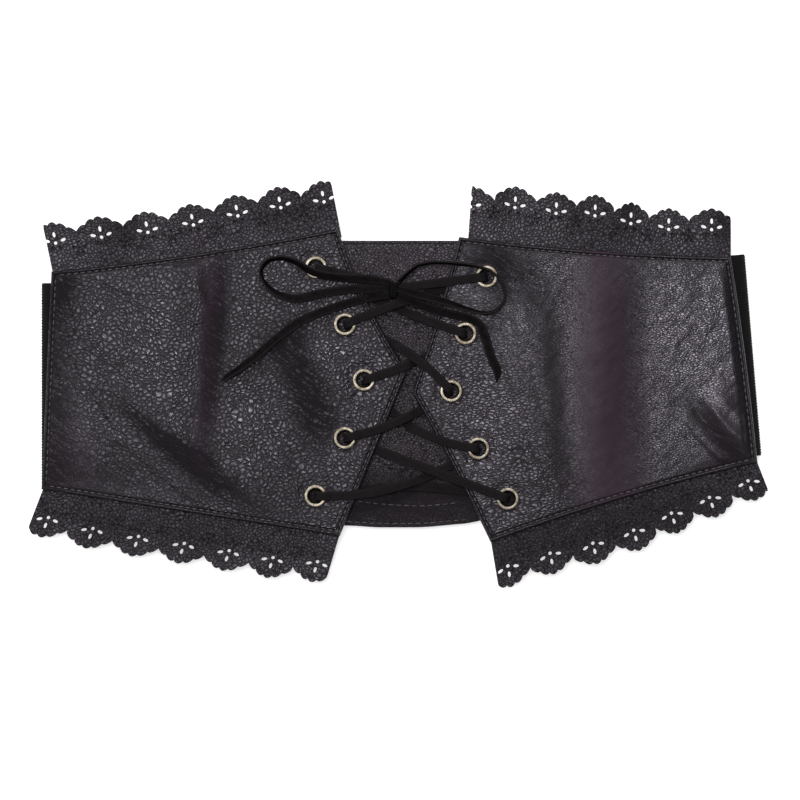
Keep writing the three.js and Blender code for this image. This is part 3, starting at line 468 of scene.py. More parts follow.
def soft_spot(x, y, side, row):
    """A bell turned in plan: row holds out, up, turn in degrees, long and wide."""
    centre = place(side, row[:2])
    cos, sin = math.cos(math.radians(row[2])), math.sin(math.radians(row[2]))
    dx, dy = x - centre[0], y - centre[1]
    along = (dx * cos + dy * sin) / (row[3] * PANEL_RISE)
    across = (dy * cos - dx * sin) / (row[4] * PANEL_RISE)
    return np.exp(-along * along - across * across)


def dull_mask(piece, x, y):
    """Sum of a piece's bell-shaped dull spots, less its bell-shaped bright ones."""
    side = "left" if piece.startswith("left") else "right"
    rows = [row for row in DULL_SPOTS if row[0] == piece]
    total = sum(row[6] * soft_spot(x, y, side, row[1:6]) for row in rows)
    return np.clip(np.where(total > 0, 2 * total, total), -0.6, 2.6)


def coarse_mask(side, x, y):
    """Where the hide's pebbles are large: shares of 0 to 1."""
    along, up = np.abs(x) / PANEL_REACH, y / PANEL_RISE
    if side == "left":
        low_end = smooth(-up, 0.35, 0.8) * smooth(along, 0.5, 0.7)
        return smooth(1.02 - along + 0.12 * up, 0.0, 0.16) * (1 - 0.5 * low_end)
    return 1 - smooth(along + 0.3 * up, 0.2, 0.6)


def underside(x, y):
    """Height of the panels' underside: flat at the lacing, lower at the ends, plus the sum of
    the bell-shaped soft folds, which fade towards the lacing, the ends and the sewn edges."""
    x, y = np.asarray(x, float), np.asarray(y, float)
    out = np.abs(x)
    lift = PANEL_UNDER + (PANEL_UNDER_END - PANEL_UNDER) * smooth(out, LACE_ZONE, END_ZONE)
    ends = smooth(out, LACE_ZONE, FOLDS_FROM) * (1 - smooth(out, FOLDS_TO, END_ZONE))
    fade = ends * (1 - SEAM_CALM * smooth(np.abs(y), 0.5 * PANEL_RISE, 0.8 * PANEL_RISE))
    folds = np.zeros(np.broadcast(x, y).shape)
    for side, *row, deep in PANEL_FOLDS:
        mine = (x < 0) if side == "left" else (x >= 0)
        folds = folds + mine * deep * FOLD_DEPTH * soft_spot(x, y, side, row)
    return lift + fade * folds


def distance_to(points, line):
    """Least distance of each plan point from an open line of straight pieces."""
    a, b = line[:-1], line[1:]
    run = b - a
    reach = points[..., None, :] - a
    share = np.clip((reach * run).sum(-1) / (run * run).sum(-1), 0, 1)
    return np.sqrt(((reach - share[..., None] * run) ** 2).sum(-1).min(-1))


def lattice(x, y, size, seed):
    """Value noise from -1 to 1: random numbers on a square lattice of that size, blended with
    the smooth step."""
    gx, gy = np.asarray(x) / size, np.asarray(y) / size
    ix, iy = np.floor(gx).astype(np.int64), np.floor(gy).astype(np.int64)
    fx, fy = gx - ix, gy - iy
    fx, fy = fx * fx * (3 - 2 * fx), fy * fy * (3 - 2 * fy)

    def value(i, j):
        """A random number from -1 to 1 for a lattice point."""
        n = (i * 374761393 + j * 668265263 + seed * 974634777) & 0x7FFFFFFF
        n = ((n ^ (n >> 13)) * 1274126177) & 0x7FFFFFFF
        return ((n ^ (n >> 16)) & 0xFFFF) / 32767.5 - 1

    low = value(ix, iy) * (1 - fx) + value(ix + 1, iy) * fx
    high = value(ix, iy + 1) * (1 - fx) + value(ix + 1, iy + 1) * fx
    return low * (1 - fy) + high * fy


# Meshes


def signed_volume(points, faces):
    """Six times the volume inside a closed mesh, from its faces fanned into triangles."""
    total = 0.0
    for block in faces:
        for k in range(1, block.shape[1] - 1):
            a, b, c = points[block[:, 0]], points[block[:, k]], points[block[:, k + 1]]
            total += float((a * np.cross(b, c)).sum())
    return total


def put_mesh(name, points, faces, material, sharp=40, attributes=None):
    """A new object with these points and blocks of equal faces, moved to the belt's place and
    turned outwards."""
    points = np.asarray(points, float).reshape(-1, 3)
    blocks = [np.asarray(f, np.int64) for f in faces if len(f)]
    used = np.unique(np.concatenate([b.ravel() for b in blocks]))
    renumber = np.full(len(points), -1, np.int64)
    renumber[used] = np.arange(len(used))
    points = points[used]
    blocks = [renumber[b] for b in blocks]
    middle = points.mean(axis=0)
    if signed_volume(points - middle, blocks) < 0:
        blocks = [b[:, ::-1] for b in blocks]
    corners = np.concatenate([b.ravel() for b in blocks])
    totals = np.concatenate([np.full(len(b), b.shape[1]) for b in blocks])
    starts = np.concatenate([[0], np.cumsum(totals)[:-1]])
    mesh = bpy.data.meshes.new(name)
    mesh.vertices.add(len(points))
    mesh.vertices.foreach_set("co", (points + SHIFT).astype(np.float32).ravel())
    mesh.loops.add(len(corners))
    mesh.loops.foreach_set("vertex_index", corners.astype(np.int32))
    mesh.polygons.add(len(totals))
    mesh.polygons.foreach_set("loop_start", starts.astype(np.int32))
    mesh.polygons.foreach_set("use_smooth", np.ones(len(totals), bool))
    mesh.update(calc_edges=True)
    mesh.validate()
    for key, values in (attributes or {}).items():
        layer = mesh.attributes.new(key, "FLOAT", "POINT")
        layer.data.foreach_set("value", np.asarray(values, float).ravel()[used].astype(np.float32))
    mesh.set_sharp_from_angle(angle=math.radians(sharp))
    mesh.materials.append(material)
    thing = bpy.data.objects.new(name, mesh)
    bpy.context.scene.collection.objects.link(thing)
    return thing


def sheet_faces(rows, columns, keep=None):
    """Faces of a closed sheet whose upper points come first and lower points second: a four-sided
    face over and under each kept cell, and a wall wherever a kept cell meets none."""
    if keep is None:
        keep = np.ones((rows - 1, columns - 1), bool)
    number = np.arange(rows * columns).reshape(rows, columns)
    a, b, c, d = number[:-1, :-1], number[1:, :-1], number[1:, 1:], number[:-1, 1:]
    upper = np.stack([a, b, c, d], -1)[keep]
    layer = rows * columns
    lower = np.stack([a, d, c, b], -1)[keep] + layer
    ring = np.pad(keep, 1)
    walls = []
    for (p, q), beyond in (
        ((a, b), ring[1:-1, :-2]), ((b, c), ring[2:, 1:-1]),
        ((c, d), ring[1:-1, 2:]), ((d, a), ring[:-2, 1:-1]),
    ):
        open_side = keep & ~beyond
        p, q = p[open_side], q[open_side]
        walls.append(np.stack([q, p, p + layer, q + layer], -1))
    return [upper, lower, *walls]


def put_sheet(name, upper, lower, material, keep=None, **options):
    """A closed sheet from two grids of points."""
    rows, columns = upper.shape[:2]
    points = np.concatenate([upper.reshape(-1, 3), lower.reshape(-1, 3)])
    return put_mesh(name, points, sheet_faces(rows, columns, keep), material, **options)


def tube_faces(stations, sides):
    """Faces of a tube of rings, and one cap at each end."""
    number = np.arange(stations * sides).reshape(stations, sides)
    after = np.roll(number, -1, axis=1)
    walls = np.stack([number[:-1], after[:-1], after[1:], number[1:]], -1).reshape(-1, 4)
    return [walls, number[0][::-1][None], number[-1][None]]


def catmull(points, step):
    """A smooth line through the points (centripetal Catmull-Rom), taken at equal steps."""
    points = np.asarray(points, float)
    ends = np.vstack([2 * points[0] - points[1], points, 2 * points[-1] - points[-2]])
    gaps = np.maximum(np.linalg.norm(np.diff(ends[:, :3], axis=0), axis=1), 1e-6) ** 0.5
    knots = np.concatenate([[0], np.cumsum(gaps)])
    fine = []
    for i in range(1, len(ends) - 2):
        t = np.linspace(knots[i], knots[i + 1], 24, endpoint=False)[:, None]
        t0, t1, t2, t3 = knots[i - 1 : i + 3]
        p0, p1, p2, p3 = ends[i - 1 : i + 3]
        a1 = (t1 - t) / (t1 - t0) * p0 + (t - t0) / (t1 - t0) * p1
        a2 = (t2 - t) / (t2 - t1) * p1 + (t - t1) / (t2 - t1) * p2
        a3 = (t3 - t) / (t3 - t2) * p2 + (t - t2) / (t3 - t2) * p3
        b1 = (t2 - t) / (t2 - t0) * a1 + (t - t0) / (t2 - t0) * a2
        b2 = (t3 - t) / (t3 - t1) * a2 + (t - t1) / (t3 - t1) * a3
        fine.append((t2 - t) / (t2 - t1) * b1 + (t - t1) / (t2 - t1) * b2)
    fine = np.vstack([*fine, ends[-2]])
    return even(fine, step)


def length_along(line):
    """How far along the line each of its points lies."""
    return np.concatenate([[0], np.cumsum(np.linalg.norm(np.diff(line, axis=0), axis=1))])


def even(line, step):
    """The same line with its points at equal steps of about that length."""
    run = length_along(line[:, :3])
    wanted = np.linspace(0, run[-1], max(2, int(round(run[-1] / step)) + 1))
    return np.stack([np.interp(wanted, run, line[:, k]) for k in range(line.shape[1])], -1)


def unit(vectors):
    """The same directions with length 1."""
    return vectors / np.maximum(np.linalg.norm(vectors, axis=-1, keepdims=True), 1e-12)


def lace_section(count=14):
    """The lace's section: a flat oval of power 3.2, slightly cupped, in shares of its width and
    thickness."""
    angle = np.arange(count) / count * 2 * math.pi
    across = np.sign(np.cos(angle)) * np.abs(np.cos(angle)) ** (2 / 3.2) / 2
    through = np.sign(np.sin(angle)) * np.abs(np.sin(angle)) ** (2 / 3.2) / 2
    return across, through


def put_lace(name, centres, wide, material, narrow=None, seed=1, wear_and_painted_light=0.0):
    """A flat lace: its section carried along the centres, its width along wide and its thickness
    square to that, with a little cut unevenness. Its rims are pale, and the last argument
    lightens the rest by its share: painted light."""
    tangent = unit(np.gradient(centres, axis=0))
    wide = unit(wide - (wide * tangent).sum(-1, keepdims=True) * tangent)
    thick = np.cross(tangent, wide)
    across, through = lace_section()
    run = length_along(centres)
    share = np.ones(len(centres)) if narrow is None else narrow
    widths = LACE_WIDTH * share * (1 + 0.05 * lattice(run, run * 0, 5 * MM, seed))
    depth = LACE_THICK * (0.92 + 0.1 * lattice(run, run * 0 + 1, 3 * MM, seed + 5))
    depth = depth * np.minimum(1, 0.5 + share / 2)
    points = (
        centres[:, None]
        + wide[:, None] * (across * widths[:, None])[..., None]
        + thick[:, None] * (through * depth[:, None])[..., None]
    )
    # The share over the whole lace is painted light.
    rim = np.tile(wear_and_painted_light + (1 - wear_and_painted_light) * smooth(np.abs(across), 0.3, 0.47), len(centres))
    faces = tube_faces(len(centres), len(across))
    return put_mesh(name, points, faces, material, sharp=70, attributes={"rim": rim})


# Materials


def new_group(name, inputs, outputs):
    """An empty shader node group with these named sockets."""
    group = bpy.data.node_groups.new(name, "ShaderNodeTree")
    for label, kind, default in inputs:
        socket = group.interface.new_socket(name=label, in_out="INPUT", socket_type=kind)
        socket.default_value = default
    for label, kind in outputs:
        group.interface.new_socket(name=label, in_out="OUTPUT", socket_type=kind)
    return group, group.nodes.new("NodeGroupInput"), group.nodes.new("NodeGroupOutput")


def add_math(tree, operation, a, b=None, c=None, clamp=False):
    """The result of a math node; each value is a socket or a number."""
    node = tree.nodes.new("ShaderNodeMath")
    node.operation = operation
    node.use_clamp = clamp
    for socket, value in zip(node.inputs, (a, b, c)):
        if value is None:
            continue
        if isinstance(value, (int, float)):
            socket.default_value = value
        else:
            tree.links.new(value, socket)
    return node.outputs[0]


def add_noise(tree, vector, scale, detail=2.0, rough=0.5):
    """A noise texture on a vector."""
    node = tree.nodes.new("ShaderNodeTexNoise")
    node.inputs["Scale"].default_value = scale
    node.inputs["Detail"].default_value = detail
    node.inputs["Roughness"].default_value = rough
    tree.links.new(vector, node.inputs["Vector"])
    return node


def add_drift(tree, vector, noise, reach):
    """A vector moved by a noise's colour times a reach."""
    node = tree.nodes.new("ShaderNodeVectorMath")
    node.operation = "MULTIPLY_ADD"
    tree.links.new(noise.outputs["Color"], node.inputs[0])
    node.inputs[1].default_value = (reach, reach, reach)
    tree.links.new(vector, node.inputs[2])
    return node.outputs[0]


def add_cells(tree, vector, scale, feature="DISTANCE_TO_EDGE"):
    """A Voronoi texture on a vector, with a socket for its scale."""
    node = tree.nodes.new("ShaderNodeTexVoronoi")
    node.feature = feature
    tree.links.new(vector, node.inputs["Vector"])
    tree.links.new(scale, node.inputs["Scale"])
    return node


def add_ramp(tree, value, low, high, to_low=0.0, to_high=1.0):
    """A smooth step from to_low to to_high while the value goes from low to high."""
    node = tree.nodes.new("ShaderNodeMapRange")
    node.interpolation_type = "SMOOTHSTEP"
    limits = {"From Min": low, "From Max": high, "To Min": to_low, "To Max": to_high}
    for label, number in limits.items():
        node.inputs[label].default_value = number
    tree.links.new(value, node.inputs["Value"])
    return node.outputs["Result"]


# How far the grain's pattern is moved by slow and by quick noise in metres, and how its wrinkles
# are stretched
GRAIN_DRIFT = 0.005
GRAIN_WARP = 0.0005
WRINKLE_STRETCH = (0.45, 3.0, 1.0)


def grain_group():
    """Leather grain: pebbles with rounded tops and dark cracks between, fine wrinkles along one
    direction, and pores. Height and crack mask come out."""
    group, entry, out = new_group(
        "Leather grain",
        [
            ("Vector", "NodeSocketVector", (0, 0, 0)), ("Pebbles", "NodeSocketFloat", 800.0),
            ("Wrinkles", "NodeSocketFloat", 0.3), ("Smooth", "NodeSocketFloat", 0.0),
        ],
        [("Height", "NodeSocketFloat"), ("Crack", "NodeSocketFloat")],
    )
    links = group.links
    vector, pebbles = entry.outputs["Vector"], entry.outputs["Pebbles"]
    drawn = add_drift(group, vector, add_noise(group, vector, 70.0, 1.0), GRAIN_DRIFT)
    bent = add_drift(group, drawn, add_noise(group, vector, 420.0, 2.0), GRAIN_WARP)
    cells = add_cells(group, bent, pebbles)
    cells.inputs["Randomness"].default_value = 0.95
    domes = add_ramp(group, cells.outputs["Distance"], 0.0, 0.36)
    crack = add_ramp(group, cells.outputs["Distance"], 0.02, 0.19, 1.0, 0.0)
    small = add_cells(group, bent, add_math(group, "MULTIPLY", pebbles, 2.3))
    small_domes = add_ramp(group, small.outputs["Distance"], 0.0, 0.4)
    domes = add_math(group, "MULTIPLY_ADD", small_domes, 0.22, domes)
    tops = add_cells(group, bent, pebbles, "F1")
    lift = add_math(group, "MULTIPLY", tops.outputs["Color"], 0.15)
    stretch = group.nodes.new("ShaderNodeMapping")
    stretch.inputs["Scale"].default_value = WRINKLE_STRETCH
    links.new(bent, stretch.inputs["Vector"])
    wrinkle = add_noise(group, stretch.outputs["Vector"], 150.0, 2.0, 0.55)
    lines = add_math(group, "ABSOLUTE", add_math(group, "SUBTRACT", wrinkle.outputs["Fac"], 0.5))
    lines = add_ramp(group, lines, 0.0, 0.14)
    pores = add_noise(group, vector, 2600.0, 2.0, 0.6)
    height = add_math(group, "ADD", domes, lift)
    height = add_math(group, "MULTIPLY_ADD", pores.outputs["Fac"], 0.05, height)
    height = add_math(group, "MULTIPLY_ADD", lines, entry.outputs["Wrinkles"], height)
    flat = add_math(group, "MULTIPLY_ADD", entry.outputs["Smooth"], -0.85, 1.0)
    links.new(add_math(group, "MULTIPLY", height, flat), out.inputs["Height"])
    folds = add_math(group, "SUBTRACT", 1.0, lines)
    folds = add_math(group, "MULTIPLY", folds, entry.outputs["Wrinkles"])
    crack = add_math(group, "MAXIMUM", crack, add_math(group, "MULTIPLY", folds, 0.8, clamp=True))
    crack = add_math(group, "MULTIPLY", crack, flat)
    links.new(crack, out.inputs["Crack"])
    return group


def blotch_group():
    """Slow variation of colour and gloss over a hide: two sizes of noise mixed to one mask."""
    group, entry, out = new_group(
        "Hide blotches", [("Vector", "NodeSocketVector", (0, 0, 0))], [("Mask", "NodeSocketFloat")],
    )
    wide = add_noise(group, entry.outputs["Vector"], 28.0, 2.0)
    small = add_noise(group, entry.outputs["Vector"], 160.0, 3.0, 0.6)
    mixed = add_math(group, "MULTIPLY", wide.outputs["Fac"], 0.6)
    mixed = add_math(group, "MULTIPLY_ADD", small.outputs["Fac"], 0.4, mixed)
    group.links.new(add_ramp(group, mixed, 0.36, 0.64), out.inputs["Mask"])
    return group


def fibre_group():
    """Short nap: stretched fine noise as a height, and a broader shade mask."""
    group, entry, out = new_group(
        "Short nap",
        [("Vector", "NodeSocketVector", (0, 0, 0)), ("Size", "NodeSocketFloat", 2200.0)],
        [("Height", "NodeSocketFloat"), ("Shade", "NodeSocketFloat")],
    )
    fine = add_noise(group, entry.outputs["Vector"], 2200.0, 3.0, 0.65)
    group.links.new(entry.outputs["Size"], fine.inputs["Scale"])
    broad = add_noise(group, entry.outputs["Vector"], 260.0, 3.0, 0.6)
    group.links.new(fine.outputs["Fac"], out.inputs["Height"])
    group.links.new(add_ramp(group, broad.outputs["Fac"], 0.35, 0.7), out.inputs["Shade"])
    return group


def start_material(name):
    """A new material, its node tree, its shader and the object's coordinates."""
    material = bpy.data.materials.new(name)
    material.use_nodes = True
    tree = material.node_tree
    shader = tree.nodes["Principled BSDF"]
    where = tree.nodes.new("ShaderNodeTexCoord").outputs["Object"]
    return material, tree, shader, where


def mix_colour(tree, mask, a, b):
    """Between two colours by a mask; each colour is a socket or three numbers."""
    node = tree.nodes.new("ShaderNodeMix")
    node.data_type = "RGBA"
    tree.links.new(mask, node.inputs["Factor"])
    for socket, value in ((node.inputs["A"], a), (node.inputs["B"], b)):
        if isinstance(value, bpy.types.NodeSocket):
            tree.links.new(value, socket)
        else:
            socket.default_value = (*value, 1.0)
    return node.outputs["Result"]


def shade_between(tree, shader, mask, colour, factor):
    """Links a colour, and that colour times the factor where the mask is 1, to the shader."""
    mixed = mix_colour(tree, mask, tuple(colour), tuple(c * factor for c in colour))
    tree.links.new(mixed, shader.inputs["Base Color"])
    return mixed


def between(tree, mask, a, b):
    """a where the mask is 0, b where it is 1."""
    return add_math(tree, "MULTIPLY_ADD", mask, add_math(tree, "SUBTRACT", b, a), a)


def use_group(tree, group, **values):
    """A node group with its inputs set; each value is a socket or a number."""
    node = tree.nodes.new("ShaderNodeGroup")
    node.node_tree = group
    for label, value in values.items():
        if isinstance(value, bpy.types.NodeSocket):
            tree.links.new(value, node.inputs[label])
        else:
            node.inputs[label].default_value = value
    return node


def bump(tree, shader, height, distance):
    """Raises the shader's surface by a height from 0 to 1 times the distance."""
    node = tree.nodes.new("ShaderNodeBump")
    node.inputs["Strength"].default_value = 1.0
    node.inputs["Distance"].default_value = distance
    tree.links.new(height, node.inputs["Height"])
    tree.links.new(node.outputs["Normal"], shader.inputs["Normal"])


def read_attribute(tree, name):
    """The value of one of the mesh's point attributes."""
    node = tree.nodes.new("ShaderNodeAttribute")
    node.attribute_name = name
    return node.outputs["Fac"]


# The leathers: grain turned in degrees and stretched along the hide, scales of its pebbles (large,
# small), wrinkles everywhere and more of them where it is dull, and the grain's depth
Hide = namedtuple("Hide", "name turn stretch pebbles wrinkles folding depth rough")
HIDES = {
    "left_leather": Hide(
        "Pebbled leather left", 40, (1, 1.15, 1), (470.0, 760.0), 0.25, 0.7, 0.00014, 0.25,
    ),
    "right_leather": Hide(
        "Fine leather right", 50, (0.65, 1.25, 1), (640.0, 1000.0), 0.2, 0.7, 0.00009, 0.26,
    ),
    "trim_leather": Hide("Trim leather", -20, (1, 1.1, 1), (620.0,), 0.2, 0.2, 0.0001, 0.33),
    "tongue_leather": Hide(
        "Tongue leather", 25, (0.9, 1.2, 1), (760.0,), 0.2, 0.1, 0.00008, 0.33,
    ),
}


def leather_material(hide, groups, colour, warm_and_shade):
    """Pebbled leather: grain and cracks on coordinates turned and stretched along the hide, with
    more wrinkles and less gloss where it is dull. A hide with large and small pebbles has the
    large ones where it is coarse, and along its folds smoother grain, less gloss and a
    violet-brown tint that is painted shade."""
    material, tree, shader, where = start_material(hide.name)
    along = tree.nodes.new("ShaderNodeMapping")
    along.inputs["Rotation"].default_value = (0, 0, math.radians(hide.turn))
    along.inputs["Scale"].default_value = hide.stretch
    tree.links.new(where, along.inputs["Vector"])
    turned = along.outputs["Vector"]
    dull = read_attribute(tree, "dull")
    folds = add_math(tree, "MAXIMUM", dull, 0.0)
    folds = add_math(tree, "MULTIPLY_ADD", folds, hide.folding, hide.wrinkles)
    grain = use_group(
        tree, groups["grain"], Vector=turned, Pebbles=hide.pebbles[0], Wrinkles=folds,
    )
    height, crack = grain.outputs["Height"], grain.outputs["Crack"]
    blotch = use_group(tree, groups["blotch"], Vector=where).outputs["Mask"]
    tint = add_math(tree, "MULTIPLY", blotch, 0.14)
    gloss = add_math(tree, "MULTIPLY_ADD", blotch, 0.06, hide.rough)
    if len(hide.pebbles) == 2:
        smooth_and_shade, coarse = read_attribute(tree, "smooth_and_shade"), read_attribute(tree, "coarse")
        fine = use_group(
            tree, groups["grain"], Vector=turned, Pebbles=hide.pebbles[1], Wrinkles=folds,
            Smooth=smooth_and_shade,
        )
        tree.links.new(smooth_and_shade, grain.inputs["Smooth"])
        low = add_math(tree, "MULTIPLY", fine.outputs["Height"], 0.45)
        height = between(tree, coarse, low, height)
        crack = between(tree, coarse, fine.outputs["Crack"], crack)
        # The mask's violet-brown tint along the folds is painted shade; the blotches' tint is the
        # hide's own.
        tint = add_math(tree, "MAXIMUM", tint, smooth_and_shade)
        gloss = add_math(tree, "MULTIPLY_ADD", smooth_and_shade, 0.26, gloss)
    shade = mix_colour(tree, tint, colour, warm_and_shade)
    dark = tuple(c * 0.35 for c in colour)
    shade = mix_colour(tree, add_math(tree, "MULTIPLY", crack, 0.8), shade, dark)
    tree.links.new(shade, shader.inputs["Base Color"])
    gloss = add_math(tree, "MULTIPLY_ADD", dull, 0.22, gloss)
    gloss = add_math(tree, "MULTIPLY_ADD", crack, 0.5, gloss, clamp=True)
    tree.links.new(gloss, shader.inputs["Roughness"])
    shader.inputs["Specular Tint"].default_value = (0.95, 0.88, 1.0, 1.0)
    bump(tree, shader, height, hide.depth)
    return material


def make_materials(colours):
    """Every material of the belt and the floor, by a short name."""
    groups = {"grain": grain_group(), "blotch": blotch_group(), "fibre": fibre_group()}
    leather, warm_and_shade = tuple(colours.leather), tuple(colours.leather_warm_and_shade)
    made = {}
    for key, hide in HIDES.items():
        colour = tuple(colours.tongue) if key == "tongue_leather" else leather
        made[key] = leather_material(hide, groups, colour, warm_and_shade)

    material, tree, shader, where = start_material("Ribbed elastic")
    nap = use_group(tree, groups["fibre"], Vector=where, Size=1700.0)
    shade_between(tree, shader, nap.outputs["Shade"], colours.elastic, 2.2)
    rough = add_ramp(tree, nap.outputs["Shade"], 0.0, 1.0, 0.85, 0.97)
    tree.links.new(rough, shader.inputs["Roughness"])
    shader.inputs["Specular IOR Level"].default_value = 0.2
    bump(tree, shader, nap.outputs["Height"], 0.0002)
    made["elastic"] = material

    material, tree, shader, where = start_material("Suede lace")
    nap = use_group(tree, groups["fibre"], Vector=where, Size=2400.0)
    body = shade_between(tree, shader, nap.outputs["Shade"], colours.suede, 2.6)
    rims = add_ramp(tree, nap.outputs["Height"], 0.3, 0.6, 0.35, 1.0)
    # On the lacing the rim attribute brings the pale colour over the whole face too: painted light.
    rims = add_math(tree, "MULTIPLY", read_attribute(tree, "rim"), rims)
    pale = tuple(c * 9 for c in colours.suede)
    tree.links.new(mix_colour(tree, rims, body, pale), shader.inputs["Base Color"])
    rough = add_ramp(tree, nap.outputs["Height"], 0.3, 0.7, 0.6, 0.9)
    tree.links.new(rough, shader.inputs["Roughness"])
    shader.inputs["Specular IOR Level"].default_value = 0.08
    bump(tree, shader, nap.outputs["Height"], 0.00022)
    made["suede"] = material

    material, tree, shader, where = start_material("Antique brass")
    blotch = use_group(tree, groups["blotch"], Vector=where).outputs["Mask"]
    scuffs = add_noise(tree, where, 380.0, 3.0, 0.6).outputs["Fac"]
    wear_and_painted_light = shade_between(tree, shader, blotch, colours.brass, 0.72)
    dark = add_math(tree, "MULTIPLY", add_ramp(tree, scuffs, 0.45, 0.75), 0.5)
    tree.links.new(mix_colour(tree, dark, wear_and_painted_light, (0.12, 0.085, 0.05)), shader.inputs["Base Color"])
    shader.inputs["Metallic"].default_value = 1.0
    rough = add_ramp(tree, scuffs, 0.3, 0.75, 0.3, 0.5)
    tree.links.new(rough, shader.inputs["Roughness"])
    bump(tree, shader, scuffs, 0.00005)
    made["brass"] = material

    material, tree, shader, where = start_material("Waxed thread")
    nap = use_group(tree, groups["fibre"], Vector=where, Size=3000.0)
    shade_between(tree, shader, nap.outputs["Shade"], colours.thread, 2)
    shader.inputs["Roughness"].default_value = 0.5
    bump(tree, shader, nap.outputs["Height"], 0.0001)
    made["thread"] = material

    material, tree, shader, where = start_material("Plain pale floor")
    haze = add_noise(tree, where, 3.0, 2.0).outputs["Fac"]
    shade_between(tree, shader, haze, colours.floor, 0.985)
    shader.inputs["Roughness"].default_value = 0.9
    shader.inputs["Emission Color"].default_value = (1, 1, 1, 1)
    shader.inputs["Emission Strength"].default_value = 0.62
    made["floor"] = material
    return made


MATERIALS = {}


def material_for(context, name):
    """One of the belt's materials, which are made at the first call."""
    if not MATERIALS:
        MATERIALS.update(make_materials(context.scene.corset_colours))
    return MATERIALS[name]


# Operators


class MakeStage(bpy.types.Operator):
    """Lays the plain pale floor, hangs the soft lights and sets the camera over the belt"""

    bl_idname = "corset.make_stage"
    bl_label = "Stage"

    def execute(self, context):
        scene = context.scene
        scene.view_settings.view_transform = "Standard"
        half = FLOOR_HALF
        corners = [(-half, -half), (half, -half), (half, half), (-half, half)]
        mesh = bpy.data.meshes.new("floor")
        mesh.from_pydata([(x, y, -FLOOR_DROP) for x, y in corners], [], [(0, 1, 2, 3)])
        mesh.materials.append(material_for(context, "floor"))
        floor = bpy.data.objects.new("floor", mesh)
        scene.collection.objects.link(floor)

        world = bpy.data.worlds.new("Soft studio")
        world.use_nodes = True
        back = world.node_tree.nodes["Background"]
        back.inputs["Color"].default_value = (1, 1, 1, 1)
        back.inputs["Strength"].default_value = WORLD_LIGHT
        scene.world = world

        for name, spot, size, power in LIGHTS:
            light = bpy.data.lights.new(name, "AREA")
            light.shape = "RECTANGLE"
            light.size, light.size_y = size
            light.energy = power
            lamp = bpy.data.objects.new(name, light)
            lamp.location = spot
            lamp.rotation_euler = (-Vector(spot)).to_track_quat("-Z", "Y").to_euler()
            scene.collection.objects.link(lamp)

        camera = bpy.data.cameras.new("camera")
        camera.sensor_width = 36
        camera.lens = camera.sensor_width * CAMERA_DISTANCE / VIEW_WIDTH
        camera.clip_end = 20
        eye = bpy.data.objects.new("camera", camera)
        eye.location = (SHIFT[0], SHIFT[1] - CAMERA_DROP, FOCUS_HEIGHT + CAMERA_DISTANCE)
        scene.collection.objects.link(eye)
        scene.camera = eye
        return {"FINISHED"}


def bow_points(name):
    """A free length of the bow through its listed points: the height follows the panel's folds, and
    rises as the lace rolls on to its edge."""
    rows = np.array(BOW_ROUTES[name], float)
    x, y, over, roll = rows[:, 0] * MM, rows[:, 1] * MM, rows[:, 2] * MM, np.radians(rows[:, 3])
    flat = underside(x, y) - PANEL_UNDER
    stand = np.sin(roll) * LACE_WIDTH / 2 + np.cos(roll) * LACE_THICK / 2
    height = np.maximum(over, stand + 0.25 * MM)
    side = "left" if name.endswith("left") else "right"
    relief, _ = panel_face(side, np.stack([x, y], -1), bpy.context.scene.corset_sizes)
    height = height + np.maximum(relief, 0) * (np.abs(x) > 0.2 * PANEL_REACH)
    return catmull(np.stack([x, y, PANEL_TOP + height + flat, roll], -1), 0.9 * MM)


